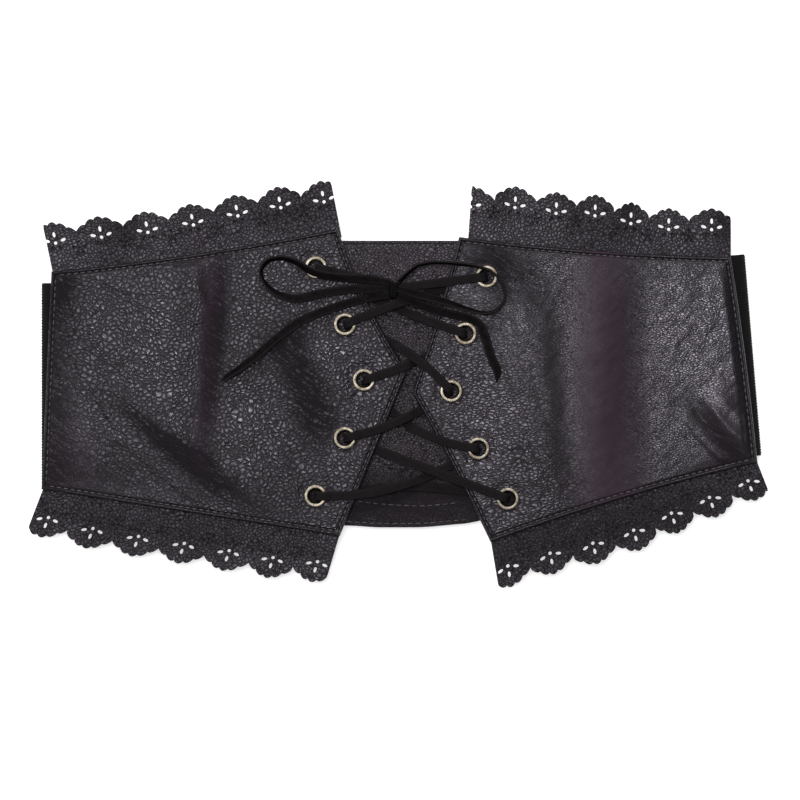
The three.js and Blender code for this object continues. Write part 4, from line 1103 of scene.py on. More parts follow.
class MakeBow(bpy.types.Operator):
    """Ties the bow: two loops and two tails of flat suede lace, and the knot between them"""

    bl_idname = "corset.make_bow"
    bl_label = "Bow"

    def execute(self, context):
        suede = material_for(context, "suede")
        for seed, name in enumerate(BOW_ROUTES):
            line = bow_points(name)
            centres, roll = line[:, :3], line[:, 3]
            tangent = unit(np.gradient(centres, axis=0))
            level = unit(np.cross(np.array([0, 0, 1.0]), tangent))
            up = np.cross(tangent, level)
            wide = level * np.cos(roll)[:, None] + up * np.sin(roll)[:, None]
            run = length_along(centres)
            left_over = run[-1] - run
            narrow = 0.74 + 0.26 * smooth(run, 0, 7 * MM)
            shown = np.vstack([centres[0] - tangent[0] * KNOT_BITE, centres])
            turned = np.vstack([wide[0], wide])
            loop = name.startswith("bow_loop")
            if loop:
                narrow = narrow * (0.74 + 0.26 * smooth(left_over, 0, 7 * MM))
                narrow = np.concatenate([narrow[:1], narrow, narrow[-1:]])
                shown = np.vstack([shown, centres[-1] + tangent[-1] * KNOT_BITE])
                turned = np.vstack([turned, wide[-1]])
            else:
                point = TAIL_POINTS[name] * MM
                narrow = narrow * (0.25 + 0.75 * smooth(left_over, 0.0, point))
                narrow = np.concatenate([narrow[:1], narrow])
            lace = put_lace(f"{name}_suede", shown, turned, suede, narrow, seed * 7 + 3)
            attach(lace, "root")
            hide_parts(name)

        around, across = 44, 12
        turn = np.arange(around) / around * 2 * math.pi
        side = np.linspace(-1, 1, across)
        turn, side = np.meshgrid(turn, side, indexing="ij")
        # A wrapped band: an oval of power 2.6 in Y and Z, waisted where the loops pass, with a
        # pulled-in rim at both sides and a crease along the wrap
        cos, sin = np.cos(turn), np.sin(turn)
        rim = 1 - 0.34 * np.abs(side) ** 3
        crease = 1 - 0.1 * bell(side, 0.15 + 0.2 * cos, 0.16) - 0.05 * np.cos(3 * turn)
        y = np.sign(cos) * np.abs(cos) ** (2 / 2.6) * KNOT_LENGTH / 2 * rim * crease
        z = np.sign(sin) * np.abs(sin) ** (2 / 2.6) * KNOT_HEIGHT / 2 * rim * crease
        x = side * KNOT_WIDTH / 2 * (1 + 0.12 * cos)
        middle = np.array([KNOT[0] * MM, KNOT[1] * MM, LACE_ON_PANEL + LACE_THICK / 2])
        points = np.stack([x, y, z], -1).transpose(1, 0, 2) + middle
        knot = put_mesh("bow_wrap", points, tube_faces(across, around), suede, sharp=60)
        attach(knot, "root")
        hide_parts("bow_knot")
        return {"FINISHED"}


def close_lines(count, edge_steps, length):
    """Shares along one direction: close lines near both edges, then even ones between."""
    near = np.cumsum([0, *edge_steps]) * MM / length
    middle = np.linspace(near[-1], 1 - near[-1], count)
    return np.concatenate([near[:-1], middle, 1 - near[:-1][::-1]])


def line_frame(side, points, row):
    """Share along and reach across a line, and its length. The row holds out and up of both
    ends, in shares of the panel's reach and rise."""
    a, b = place(side, row[:2]), place(side, row[2:])
    run = b - a
    length = np.hypot(*run)
    reach = points - a
    along = (reach @ run) / length**2
    return along, (reach[..., 0] * run[1] - reach[..., 1] * run[0]) / length, length


def crease_field(side, points):
    """Sum of the small creases, each sunk as a bell across its line, and of the broad folds,
    each raised as a bell with a width of its own at either hand. All fade at both ends."""
    total = np.zeros(points.shape[:-1])
    for panel, *row, width, depth in CREASES:
        if panel != side:
            continue
        along, across, length = line_frame(side, points, row)
        across = across - 0.05 * length * np.sin(math.pi * np.clip(along, 0, 1))
        ends = smooth(along, -0.12, 0.2) * (1 - smooth(along, 0.8, 1.12))
        total = total - depth * MM * bell(across, 0, width * MM) * ends
    for panel, *row, left_wide, right_wide, rise in BROAD_FOLDS:
        if panel != side:
            continue
        along, across, length = line_frame(side, points, row)
        across = across - 0.8 * MM * lattice(along * length, along * 0 + rise, 14 * MM, 31)
        wide = np.where(across < 0, left_wide, right_wide) * MM
        ends = smooth(along, -0.2, 0.25) * (1 - smooth(along, 0.75, 1.2))
        total = total + rise * MM * bell(across, 0, wide) * ends
    return total


def smooth_and_shade_mask(side, x, y):
    """Where the grain is smoothed and less glossy, with a brown-violet tint painted along the folds
    as their shade: soft bands in plan.
    """
    along, up = x / PANEL_REACH, y / PANEL_RISE
    if side == "left":
        band = bell(along, -0.543 + 0.03 * up, 0.03) * (1 - smooth(up, 0.55, 0.95))
        band = band * smooth(up, -0.9, -0.2)
        top = bell(along, -0.56 + 0.06 * (0.75 - up) * 4, 0.04) * smooth(up, 0.45, 0.7)
        low = 0.25 * bell(along, -0.93, 0.12) * smooth(-up, -0.1, 0.5)
        return np.clip(0.6 * band + 0.2 * top + low, 0, 1)
    band = 0.95 * bell(along, 0.59 - 0.02 * up, 0.075)
    inner = 0.45 * bell(along, 0.52, 0.05) * (1 - smooth(up, 0.2, 0.9))
    outer = 0.3 * bell(along, 0.9, 0.08) * smooth(-up, -0.5, 0.3)
    return np.clip(band + inner + outer, 0, 1)


def edge_distance(side, points):
    """Least distance of plan points from a panel's four edges."""
    share = np.linspace(0, 1, 60)
    lines = [PANELS[side][key](share) for key in ("top", "bottom", "outer", "inner")]
    return np.min([distance_to(points, line) for line in lines], axis=0)


def panel_face(side, points, sizes):
    """Height of a panel's face over its plain underside plus wall: the rounded folded edge with
    its welt, the sewn groove, creases, slow unevenness, and the leather drawn in round each
    eyelet. The distance from the nearest edge comes out too."""
    edge = edge_distance(side, points)
    x, y = points[..., 0], points[..., 1]
    welt = sizes.welt_rise * bell(edge, 0.85 * MM, 0.6 * MM)
    groove = sizes.groove_depth * bell(edge, sizes.groove_inset, 0.46 * MM)
    inner = smooth(edge, 2.2 * MM, 6 * MM)
    slow = 0.2 * lattice(x, y, 8 * MM, 3) + 0.11 * lattice(x, y, 3.1 * MM, 8)
    if side == "right":
        slow = slow * 0.7
        turned = (x * 0.72 + y * 0.69, y * 0.72 - x * 0.69)
        slow = slow + 0.1 * lattice(turned[0] * 0.35, turned[1], 1.9 * MM, 5)
    else:
        slow = slow + 0.08 * lattice(x, y, 1.8 * MM, 5)
    face = welt - groove + inner * (slow * MM + crease_field(side, points))
    for k, row in enumerate(EYELETS[side]):
        centre = place(side, row)
        dx, dy = x - centre[0], y - centre[1]
        away = np.hypot(dx, dy)
        angle = np.arctan2(dy, dx)
        calm = 1 - 0.9 * bell(away, 0, 6 * MM)
        face = face * np.where(away < 12 * MM, calm, 1)
        rays = np.sin(9 * angle + 2.1 * k) + 0.6 * np.sin(14 * angle + 1.3 * k)
        pull = 0.13 * MM * rays * smooth(away, 5 * MM, 6.2 * MM)
        pull = pull * np.exp(-np.maximum(away - 6 * MM, 0) / (3.2 * MM))
        face = face + pull - 0.4 * MM * bell(away, 6.3 * MM, 1.5 * MM) + 0.15 * MM * (away < 5 * MM)
    return face, edge


class MakePanels(bpy.types.Operator):
    """Cuts the two leather front panels with their folded, sewn edges and eyelet holes"""

    bl_idname = "corset.make_panels"
    bl_label = "Panels"

    def execute(self, context):
        sizes = context.scene.corset_sizes
        for side in ("left", "right"):
            shares = close_lines(196, PANEL_STEPS, 140 * MM)
            rises = close_lines(124, PANEL_STEPS, 118 * MM)
            share, rise = np.meshgrid(shares, rises, indexing="ij")
            plan = PANELS[side]["point"](share, rise)
            keep = np.ones((plan.shape[0] - 1, plan.shape[1] - 1), bool)
            cells = (plan[:-1, :-1] + plan[1:, 1:] + plan[1:, :-1] + plan[:-1, 1:]) / 4
            hole = (EYELET_BORE / 2 + BARREL_WALL + CLEARANCE) + 0.2 * MM
            for row in EYELETS[side]:
                centre = place(side, row)
                inside = np.hypot(*(cells - centre).transpose(2, 0, 1)) < hole
                keep &= ~inside
                ring = np.pad(inside, 1)
                touch = ring[1:, 1:] | ring[:-1, 1:] | ring[1:, :-1] | ring[:-1, :-1]
                whole = ring[1:, 1:] & ring[:-1, 1:] & ring[1:, :-1] & ring[:-1, :-1]
                rim = touch & ~whole
                reach = plan[rim] - centre
                plan[rim] = centre + reach / np.hypot(*reach.T)[:, None] * hole
            face, edge = panel_face(side, plan, sizes)
            x, y = plan[..., 0], plan[..., 1]
            low = underside(x, y)
            round_over = np.sqrt(np.clip(1 - (1 - np.clip(edge / (1.0 * MM), 0, 1)) ** 2, 0.02, 1))
            upper = low + PANEL_WALL / 2 * (1 + round_over) + face
            lower = low + PANEL_WALL / 2 * (1 - round_over)
            panel = put_sheet(
                f"{side}_panel_leather", np.dstack([x, y, upper]), np.dstack([x, y, lower]),
                material_for(context, f"{side}_leather"), keep,
                attributes={
                    # This mask smooths the grain and paints a brown-violet tint along the folds as
                    # their shade.
                    "smooth_and_shade": np.tile(smooth_and_shade_mask(side, x, y).ravel(), 2),
                    "dull": np.tile(dull_mask(side, x, y).ravel(), 2),
                    "coarse": np.tile(coarse_mask(side, x, y).ravel(), 2),
                },
                sharp=80,
            )
            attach(panel, "root")
            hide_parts(f"{side}_panel")
        return {"FINISHED"}


class MakeStitches(bpy.types.Operator):
    """Sews the thread into the grooves along the panels' edges"""

    bl_idname = "corset.make_stitches"
    bl_label = "Stitches"

    def execute(self, context):
        sizes = context.scene.corset_sizes
        thread = material_for(context, "thread")
        for side in ("left", "right"):
            shape = PANELS[side]
            spots, headings = [], []
            for key in ("top", "inner", "bottom", "outer"):
                line = shape[key](np.linspace(0, 1, 240))
                run = unit(np.gradient(line, axis=0))
                inward = np.stack([-run[:, 1], run[:, 0]], -1)
                centre = shape["point"](np.array(0.5), np.array(0.5))
                if ((centre - line[120]) * inward[120]).sum() < 0:
                    inward = -inward
                seam = even(line + inward * sizes.groove_inset, sizes.stitch_pitch)
                middle = (seam[1:] + seam[:-1]) / 2
                ok = edge_distance(side, middle) > sizes.groove_inset * 0.93
                spots.append(middle[ok])
                headings.append(unit(seam[1:] - seam[:-1])[ok])
            spots, headings = np.vstack(spots), np.vstack(headings)
            face, _ = panel_face(side, spots, sizes)
            base = underside(spots[:, 0], spots[:, 1]) + PANEL_WALL + face
            long = sizes.stitch_pitch * STITCH_SHARE
            points, faces = stitch_run(spots, headings, base, long, sizes.stitch_thick)
            seam = put_mesh(f"{side}_panel_stitches", points, faces, thread, sharp=60)
            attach(seam, "root")
        return {"FINISHED"}


def stitch_run(spots, headings, base, long, thick):
    """Short stitches: each a round thread along its heading, arched up in its middle and sunk at
    both ends, as one set of rings for all of them."""
    share = np.linspace(-1, 1, 6)
    angle = np.arange(6) / 6 * 2 * math.pi
    arch = thick * (0.55 - 0.95 * share**4)
    body = thick / 2 * (1 - 0.35 * share**4)
    side = np.stack([-headings[:, 1], headings[:, 0]], -1)
    along = spots[:, None] + headings[:, None] * (share * long / 2)[None, :, None]
    ring_side = body[:, None] * np.cos(angle)
    ring_up = body[:, None] * np.sin(angle)
    plan = along[:, :, None] + side[:, None, None] * ring_side[None, ..., None]
    height = base[:, None, None] + arch[None, :, None] + ring_up[None]
    points = np.concatenate([plan, height[..., None]], -1)
    count, rings, sides = len(spots), len(share), len(angle)
    number = np.arange(count * rings * sides).reshape(count, rings, sides)
    after = np.roll(number, -1, axis=2)
    walls = np.stack([number[:, :-1], after[:, :-1], after[:, 1:], number[:, 1:]], -1)
    return points.reshape(-1, 3), [walls.reshape(-1, 4), number[:, 0, ::-1], number[:, -1]]


def scallop_rim(trim, length, dense):
    """The trim's free edge in its flat strip: over each scallop a valley, plus an arch
    (1 - s^2)^1.5, plus five small lobes |sin|."""
    points = []
    start = trim.start * length
    for end, reach in trim.scallops:
        stop = end * length
        share = np.arange(dense) / dense
        side = 2 * share - 1
        valley = reach * TRIM_REACH - SCALLOP_ARCH - LOBE_RISE
        out = valley + SCALLOP_ARCH * np.clip(1 - side * side, 0, 1) ** 1.5
        out = out + LOBE_RISE * np.abs(np.sin(math.pi * 5 * share)) ** 0.75
        points.append(np.stack([start + (stop - start) * share, out], -1))
        start = stop
    points = np.vstack(points)
    first, last = (share * length for share in trim.span)
    return points[(points[:, 0] > first + 0.1 * MM) & (points[:, 0] < last - 0.1 * MM)], first, last


Mark = namedtuple("Mark", "along out turn long wide through")


def ring_marks(middle, out, radius, petals, long, wide, through):
    """The petals of a flower: ovals on a circle, each pointing away from its middle."""
    return [
        Mark(
            middle + radius * math.cos(math.radians(turn)),
            out + radius * math.sin(math.radians(turn)), math.radians(turn), long, wide, through,
        )
        for turn in petals
    ]


def flower_marks(trim, length):
    """Ovals of a trim: middle, turn, half length, half width, and whether it is cut through.
    Each scallop has a flower of three open and two blind petals round an open dot, and between
    two scallops, nearer the seam, stands a small blind flower with its dot."""
    marks = []
    start = trim.start
    long, wide, dot = PETAL_LENGTH / 2, PETAL_WIDTH / 2, FLOWER_DOT / 2
    for end, reach in trim.scallops:
        middle = (start + end) / 2 * length
        out = reach * TRIM_REACH - FLOWER_INSET
        marks.append(Mark(middle, out, 0.0, dot, dot, True))
        marks += ring_marks(middle, out, FLOWER_RADIUS, (90, 18, 162), long, wide, True)
        marks += ring_marks(middle, out, FLOWER_RADIUS * 0.88, (-54, -126), long * 0.9, wide, False)
        start = end
    for end, reach in trim.scallops[:-1]:
        middle, out = end * length, reach * TRIM_REACH - BUD_INSET
        marks.append(Mark(middle, out, 0.0, BUD_DOT / 2, BUD_DOT / 2, False))
        turns = range(90, 450, 72)
        marks += ring_marks(middle, out, BUD_RADIUS, turns, BUD_LENGTH / 2, BUD_WIDTH / 2, False)
    return marks


def oval_radius(points, mark):
    """1 on the oval's edge, less inside it and more outside."""
    dx, dy = points[..., 0] - mark.along, points[..., 1] - mark.out
    cos, sin = math.cos(mark.turn), math.sin(mark.turn)
    return np.hypot((dx * cos + dy * sin) / mark.long, (dy * cos - dx * sin) / mark.wide)


def trim_map(trim, flat, length):
    """Where points of the flat strip lie: out from the seam along a direction that turns from
    one end to the other, ruffled more towards the free edge."""
    along, out = flat[:, 0], flat[:, 1]
    share = along / length
    seam = PANELS[trim.side][trim.edge](share)
    lean_first, lean_last = trim.leans
    lean = np.radians(lean_first + (lean_last - lean_first) * share)
    far = np.clip(out / TRIM_REACH, 0, None)
    ruffle = sum(rise * RUFFLE_RISE * bell(share, at, wide) for at, wide, rise in trim.ruffles)
    fine = 0.25 * MM * lattice(along, out * 0.4, 5.5 * MM, 11) * np.clip(far * 2, 0, 1)
    x = seam[:, 0] + out * np.cos(lean)
    y = seam[:, 1] + out * np.sin(lean)
    under_seam = underside(seam[:, 0], seam[:, 1])
    under = np.where(out < 0, np.minimum(underside(x, y), under_seam), under_seam)
    top = under - SEAM_GAP + ruffle * far**1.5 + fine
    return np.stack([x, y, top], -1)


class MakeTrims(bpy.types.Operator):
    """Cuts the four pierced scalloped trims and sews them under the panels' edges"""

    bl_idname = "corset.make_trims"
    bl_label = "Trims"

    def execute(self, context):
        sizes = context.scene.corset_sizes
        for trim in TRIMS:
            edge = PANELS[trim.side][trim.edge]
            length = float(np.hypot(*(edge(1.0) - edge(0.0))))
            rim, first, last = scallop_rim(trim, length, 60)
            base = np.stack([np.linspace(first, last, 90), np.full(90, -SEAM_LAP)], -1)
            side_b = np.stack([np.full(14, last), np.linspace(-SEAM_LAP, rim[-1, 1], 16)[1:-1]], -1)
            side_a = np.stack([np.full(14, first), np.linspace(rim[0, 1], -SEAM_LAP, 16)[1:-1]], -1)
            outline = np.vstack([base, side_b, rim[::-1], side_a])
            marks = flower_marks(trim, length)
            flat, triangles = mesh_strip(outline, marks, first, last)
            points = trim_map(trim, flat, length)
            dent = np.zeros(len(flat))
            for mark in marks:
                depth, inner, outer = (0.3, 1.0, 1.5) if mark.through else (1, 0.55, 1.15)
                dent = np.maximum(dent, depth * (1 - smooth(oval_radius(flat, mark), inner, outer)))
            lower = points - np.array([0, 0, TRIM_WALL])
            upper = points - np.stack([dent * 0, dent * 0, dent * sizes.dent_depth], -1)
            faces = shell_faces(triangles, len(flat))
            piece = put_mesh(
                f"{trim.name}_leather", np.vstack([upper, lower]), faces,
                material_for(context, "trim_leather"), sharp=50,
                attributes={"dull": np.tile(dull_mask(trim.name, points[:, 0], points[:, 1]), 2)},
            )
            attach(piece, "root")
            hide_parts(trim.name)
        return {"FINISHED"}


def inside_line(points, line):
    """True for points inside a closed line, by counting the crossings of a ray to the right."""
    x, y = points[:, 0], points[:, 1]
    within = np.zeros(len(points), bool)
    for (ax, ay), (bx, by) in zip(line, np.roll(line, -1, axis=0)):
        if ay == by:
            continue
        cross = ((ay > y) != (by > y)) & (x < (bx - ax) * (y - ay) / (by - ay) + ax)
        within ^= cross
    return within


def mesh_strip(outline, marks, first, last):
    """Triangles of a flat strip between its outline and its openings, with loops of points
    round every oval and even points between."""
    low, high = outline[:, 1].min(), outline[:, 1].max()
    gap = 1.0 * MM
    gx, gy = np.meshgrid(np.arange(first, last, gap), np.arange(low, high, gap), indexing="ij")
    gx = gx + (np.arange(gx.shape[1]) % 2) * gap / 2
    filler = np.stack([gx.ravel(), gy.ravel()], -1)
    filler = filler[inside_line(filler, outline)]
    filler = filler[distance_to(filler, np.vstack([outline, outline[:1]])) > 0.4 * MM]
    edges, loops = [], [outline]
    for mark in marks:
        around = 16
        angle = np.arange(around) / around * 2 * math.pi
        cos, sin = math.cos(mark.turn), math.sin(mark.turn)
        filler = filler[oval_radius(filler, mark) > 1.45]
        for radius in ((1.0, 1.3) if mark.through else (0.55, 0.85, 1.15)):
            u, v = radius * mark.long * np.cos(angle), radius * mark.wide * np.sin(angle)
            loop = np.stack([mark.along + u * cos - v * sin, mark.out + u * sin + v * cos], -1)
            if mark.through and radius == 1.0:
                loops.append(loop)
            else:
                loop = loop[inside_line(loop, outline)]
                if len(loop):
                    loop = loop[distance_to(loop, np.vstack([outline, outline[:1]])) > 0.12 * MM]
                filler = np.vstack([filler, loop])
    points = []
    for loop in loops:
        start = len(points)
        points.extend(loop.tolist())
        edges.extend((start + k, start + (k + 1) % len(loop)) for k in range(len(loop)))
    points.extend(filler.tolist())
    scale = 1000.0  # millimetres suit the triangles' limits better than metres
    places = [Vector((x * scale, y * scale)) for x, y in points]
    found = delaunay_2d_cdt(places, edges, [], 0, 1e-5)
    flat = np.array([tuple(v) for v in found[0]]) / scale
    triangles = np.array([f for f in found[2] if len(f) == 3], np.int64)
    middles = flat[triangles].mean(axis=1)
    keep = inside_line(middles, outline)
    for mark in marks:
        if mark.through:
            keep &= oval_radius(middles, mark) > 0.985
    triangles = triangles[keep]
    area = double_areas(flat, triangles)
    real = np.abs(area) > 1e-12
    triangles, area = triangles[real], area[real]
    triangles[area < 0] = triangles[area < 0][:, ::-1]
    return flat, triangles


def double_areas(flat, triangles):
    """Twice the area of each flat triangle, less than 0 where it turns clockwise."""
    a, b, c = (flat[triangles[:, k]] for k in range(3))
    return (b - a)[:, 0] * (c - a)[:, 1] - (b - a)[:, 1] * (c - a)[:, 0]


def shell_faces(triangles, layer):
    """Upper and lower faces of a flat cut, and a wall along every edge that only one triangle
    has."""
    edges = np.concatenate([triangles[:, [0, 1]], triangles[:, [1, 2]], triangles[:, [2, 0]]])
    key = np.sort(edges, axis=1)
    code = key[:, 0] * (layer + 1) + key[:, 1]
    _, back, counts = np.unique(code, return_inverse=True, return_counts=True)
    rim = edges[counts[back] == 1]
    walls = np.stack([rim[:, 1], rim[:, 0], rim[:, 0] + layer, rim[:, 1] + layer], -1)
    return [triangles, triangles[:, ::-1] + layer, walls]


class MakeTongue(bpy.types.Operator):
    """Lays the thin leather tongue under the lacing, with its rolled top edge and sewn hem"""

    bl_idname = "corset.make_tongue"
    bl_label = "Tongue"

    def execute(self, context):
        left, right = tongue_ends()
        xs = np.linspace(left, right, 170)
        steps = (0.12, 0.2, 0.3, 0.3, 0.3, 0.3, 0.3)
        ys = close_lines(205, steps, 2 * TONGUE_RISE) * 2 - 1
        x, v = np.meshgrid(xs, ys, indexing="ij")
        upper, lower = tongue_surface(x, v)
        tongue = put_sheet(
            "tongue_leather", upper, lower, material_for(context, "tongue_leather"), sharp=80,
            attributes={"dull": np.tile(dull_mask("tongue", x, upper[..., 1]).ravel(), 2)},
        )
        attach(tongue, "root")
        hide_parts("tongue")

        sizes = context.scene.corset_sizes
        spots, headings, heights = [], [], []
        for reach, gap in ((0.16, 1.8 * MM), (0.13, None)):
            count = int(2 * reach * PANEL_REACH / sizes.stitch_pitch)
            run = np.linspace(-reach, reach, count) * PANEL_REACH + 3 * MM
            up = hem_height(run) - 0.8 * MM if gap is None else gap
            line, _ = tongue_surface(run, -1 + up / (TONGUE_RISE - tongue_taper(run)))
            spots.append(line[:, :2])
            headings.append(unit(np.gradient(line[:, :2], axis=0)))
            heights.append(line[:, 2])
        points, faces = stitch_run(
            np.vstack(spots), np.vstack(headings), np.concatenate(heights),
            sizes.stitch_pitch * STITCH_SHARE, sizes.stitch_thick * 0.75,
        )
        seam = put_mesh("tongue_stitches", points, faces, material_for(context, "thread"), sharp=60)
        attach(seam, "root")
        return {"FINISHED"}


def tongue_ends():
    """X of the tongue's two sewn ends."""
    extra = EYELET_FLANGE / 2 + CLEARANCE * 3 + TONGUE_FLAP * 1.8
    reach = {side: max(row[0] for row in EYELETS[side]) * PANEL_REACH for side in SIDE_SIGN}
    return -reach["left"] - extra, reach["right"] + extra


def tongue_taper(x):
    """How much shorter the tongue is at x than in its middle, above and below: a smooth step."""
    left, right = tongue_ends()
    return TONGUE_TAPER * smooth(np.abs(x), TONGUE_FLAT, np.where(x < 0, -left, right))


def hem_height(x):
    """Height of the folded hem over the tongue's lower edge: a slow wave."""
    return TONGUE_RISE - 53.0 * MM - 1.2 * MM * np.sin((x + 12 * MM) / (16 * MM))


def tongue_surface(x, v):
    """Upper and lower points of the tongue, from x and the share v of its half height: flat
    under the lacing, stepped up by a smooth step to the panels at both ends, with rounded edges,
    a hem raised by a smooth step, and a crease and a ridge over it shaped as bells."""
    left, right = tongue_ends()
    end = np.where(x < 0, -left, right)
    side_reach = end - TONGUE_FLAP * 1.8
    half = TONGUE_RISE - tongue_taper(x)
    hang = 1.8 * MM * smooth(x, 6 * MM, 34 * MM) + 0.8 * MM * smooth(-x, 8 * MM, 24 * MM)
    y = (half - np.where(v < 0, hang, 0)) * v
    away = smooth(np.abs(x), side_reach, side_reach + TONGUE_FLAP * 0.8)
    sewn = PANEL_UNDER - CLEARANCE - TONGUE_WALL
    low = TONGUE_UNDER + (sewn - TONGUE_UNDER) * away
    top_gap, bottom_gap = half * (1 - v), half * (1 + v)
    edge = np.minimum(top_gap, bottom_gap)
    round_over = np.sqrt(np.clip(1 - (1 - np.clip(edge / (0.6 * MM), 0, 1)) ** 2, 0.03, 1))
    flat_part = 1 - smooth(np.abs(x), side_reach * 0.8, side_reach)
    face = -0.3 * MM * bell(top_gap, 1.7 * MM, 0.4 * MM)
    face = face - 0.25 * MM * bell(bottom_gap, 1.8 * MM, 0.4 * MM)
    over_hem = bottom_gap - hem_height(x)
    face = face + 0.35 * MM * smooth(-over_hem, -0.5 * MM, 0.4 * MM)
    face = face - 0.5 * MM * bell(over_hem, 1.5 * MM, 0.9 * MM)
    crease = 5.2 * MM + 1.6 * MM * np.sin(x / (11 * MM))
    face = face - 0.5 * MM * bell(over_hem, crease, 0.9 * MM)
    face = face + 0.3 * MM * bell(over_hem, crease + 1.9 * MM, 1.1 * MM)
    rough = 0.1 * lattice(x, y, 5 * MM, 21) + 0.06 * lattice(x, y * 0.6, 2.2 * MM, 4)
    face = face + rough * MM * smooth(edge, MM, 4 * MM)
    upper = low + TONGUE_WALL / 2 * (1 + round_over) + face * (0.25 + 0.75 * flat_part) - 0.02 * MM
    lower = low + TONGUE_WALL / 2 * (1 - round_over) - 0.1 * MM * flat_part
    upper = np.maximum(upper, lower + 0.15 * MM)
    return np.stack([x, y, upper], -1), np.stack([x, y, lower], -1)


class MakeElastic(bpy.types.Operator):
    """Folds the wide ribbed elastic of the back from one panel's end to the other's"""

    bl_idname = "corset.make_elastic"
    bl_label = "Elastic"

    def execute(self, context):
        sizes = context.scene.corset_sizes
        turn = BAND_TOP / 2
        left = -PANEL_CORNERS["left"][0][0] * PANEL_REACH - BAND_SHOW_LEFT + turn
        right = PANEL_CORNERS["right"][0][0] * PANEL_REACH + BAND_SHOW_RIGHT - turn
        angle = np.linspace(math.pi / 2, 3 * math.pi / 2, 18)
        lap = np.linspace(0, 1, 7)[:-1]
        floor_run = np.linspace(0, 1, 36)[1:-1]
        back = angle + math.pi

        def stretch(x, z, tilt):
            """Stations of the band's outer face: place, height and direction of the run."""
            return np.stack(np.broadcast_arrays(x, z, tilt), -1)

        path = np.concatenate([
            stretch(left + BAND_LAP * (1 - lap), 2 * turn, math.pi),
            stretch(left + turn * np.cos(angle), turn + turn * np.sin(angle), angle + math.pi / 2),
            stretch(left + (right - left) * floor_run, 0.0, 2 * math.pi),
            stretch(right + turn * np.cos(back), turn + turn * np.sin(back), back + math.pi / 2),
            stretch(right - BAND_LAP * (1 - lap[::-1]), 2 * turn, 3 * math.pi),
        ])
        ribs = int(round(BAND_WIDTH / sizes.rib_pitch))
        across = np.linspace(-0.5, 0.5, ribs * 5 + 1)
        rib = 0.5 + 0.5 * np.cos(2 * math.pi * ribs * across)
        relief = sizes.rib_rise * (rib - 0.5)
        edge = BAND_WIDTH * (0.5 - np.abs(across))
        relief = relief - BAND_EDGE_THIN * (1 - np.clip(edge / BAND_EDGE, 0, 1)) ** 2
        row_x, row_z, tilt = (path[:, k][:, None] for k in range(3))

        def surface(inward):
            """Points across the band, a step inward from its outer face. The band rises from
            left to right along a parabola."""
            length = right - left
            share = np.clip((row_x - left) / length, 0, 1.05)
            slope = np.arctan(2 * BAND_RISE * share / length)
            x = row_x - np.sin(tilt) * inward
            z = row_z + np.cos(tilt) * inward
            reach = across[None] * BAND_WIDTH
            return np.dstack([
                x - reach * np.sin(slope),
                BAND_RISE * share**2 + reach * np.cos(slope) + x * 0,
                z + reach * 0,
            ])

        outer = surface(-relief[None] + RIB_INSET + 0 * row_x)
        inner = surface(BAND_WALL + relief[None] - RIB_INSET + 0 * row_x)
        outer[..., 2] = np.maximum(outer[..., 2], 0)
        band = put_sheet("elastic_back", inner, outer, material_for(context, "elastic"), sharp=80)
        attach(band, "root")
        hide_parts("elastic_band")
        return {"FINISHED"}


class MakeEyelets(bpy.types.Operator):
    """Presses the ten brass eyelets into the panels"""

    bl_idname = "corset.make_eyelets"
    bl_label = "Eyelets"

    def execute(self, context):
        brass = material_for(context, "brass")
        half = PANEL_WALL / 2 + CLEARANCE
        bore, flange, back = EYELET_BORE / 2, EYELET_FLANGE / 2, EYELET_BACK / 2
        # The section is a domed face rim that falls steeply to the bore, a straight barrel and a
        # flat rim behind, turned round the hole's axis. The rim's points are in shares of its width
        # from the flange to the bore, and of its rise.
        rim = np.array([
            (0, 0.5), (0.02, 0.82), (0.06, 0.96), (0.12, 1.0), (0.3, 1.02), (0.52, 1.02),
            (0.66, 1.0), (0.74, 0.94), (0.81, 0.74), (0.87, 0.3), (0.92, -0.35), (0.96, -1.0),
            (0.99, -1.6),
        ])
        face_r = flange - (flange - bore) * rim[:, 0]
        face_z = half + FLANGE_THICK * 1.1 * rim[:, 1]
        profile = np.concatenate([
            np.stack([face_r, face_z], -1),
            [[bore, 0], [bore, -half - FLANGE_THICK * 0.6]],
            [[bore + 0.25 * MM, -half - FLANGE_THICK], [back - 0.3 * MM, -half - FLANGE_THICK]],
            [[back, -half - FLANGE_THICK * 0.7], [back, -half - 0.1 * MM]],
            [[back - 0.15 * MM, -half]],
            [[bore + BARREL_WALL, -half], [bore + BARREL_WALL, half], [flange - 0.4 * MM, half]],
        ])
        sides = 56
        angle = np.arange(sides) / sides * 2 * math.pi
        for side in ("left", "right"):
            for k, row in enumerate(EYELETS[side]):
                centre = place(side, row)
                x = centre[0] + profile[:, 0][None] * np.cos(angle)[:, None]
                y = centre[1] + profile[:, 0][None] * np.sin(angle)[:, None]
                z = PANEL_UNDER + PANEL_WALL / 2 + profile[:, 1][None] + 0 * x
                number = np.arange(sides * len(profile)).reshape(sides, -1)
                right, up = np.roll(number, -1, 0), np.roll(number, -1, 1)
                faces = np.stack([number, right, np.roll(right, -1, 1), up], -1).reshape(-1, 4)
                ring = put_mesh(
                    f"eyelet_{side}_{k + 1}_brass", np.dstack([x, y, z]), [faces], brass,
                    sharp=45,
                )
                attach(ring, "root")
                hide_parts(f"eyelet_{side}_{k + 1}")
        return {"FINISHED"}


def inner_edge(side, y):
    """Where a panel's inner edge lies at one height, by halving."""
    low, high = 0.0, 1.0
    for _ in range(30):
        middle = (low + high) / 2
        if float(PANELS[side]["inner"](middle)[1]) < y:
            low = middle
        else:
            high = middle
    return float(PANELS[side]["inner"]((low + high) / 2)[0])


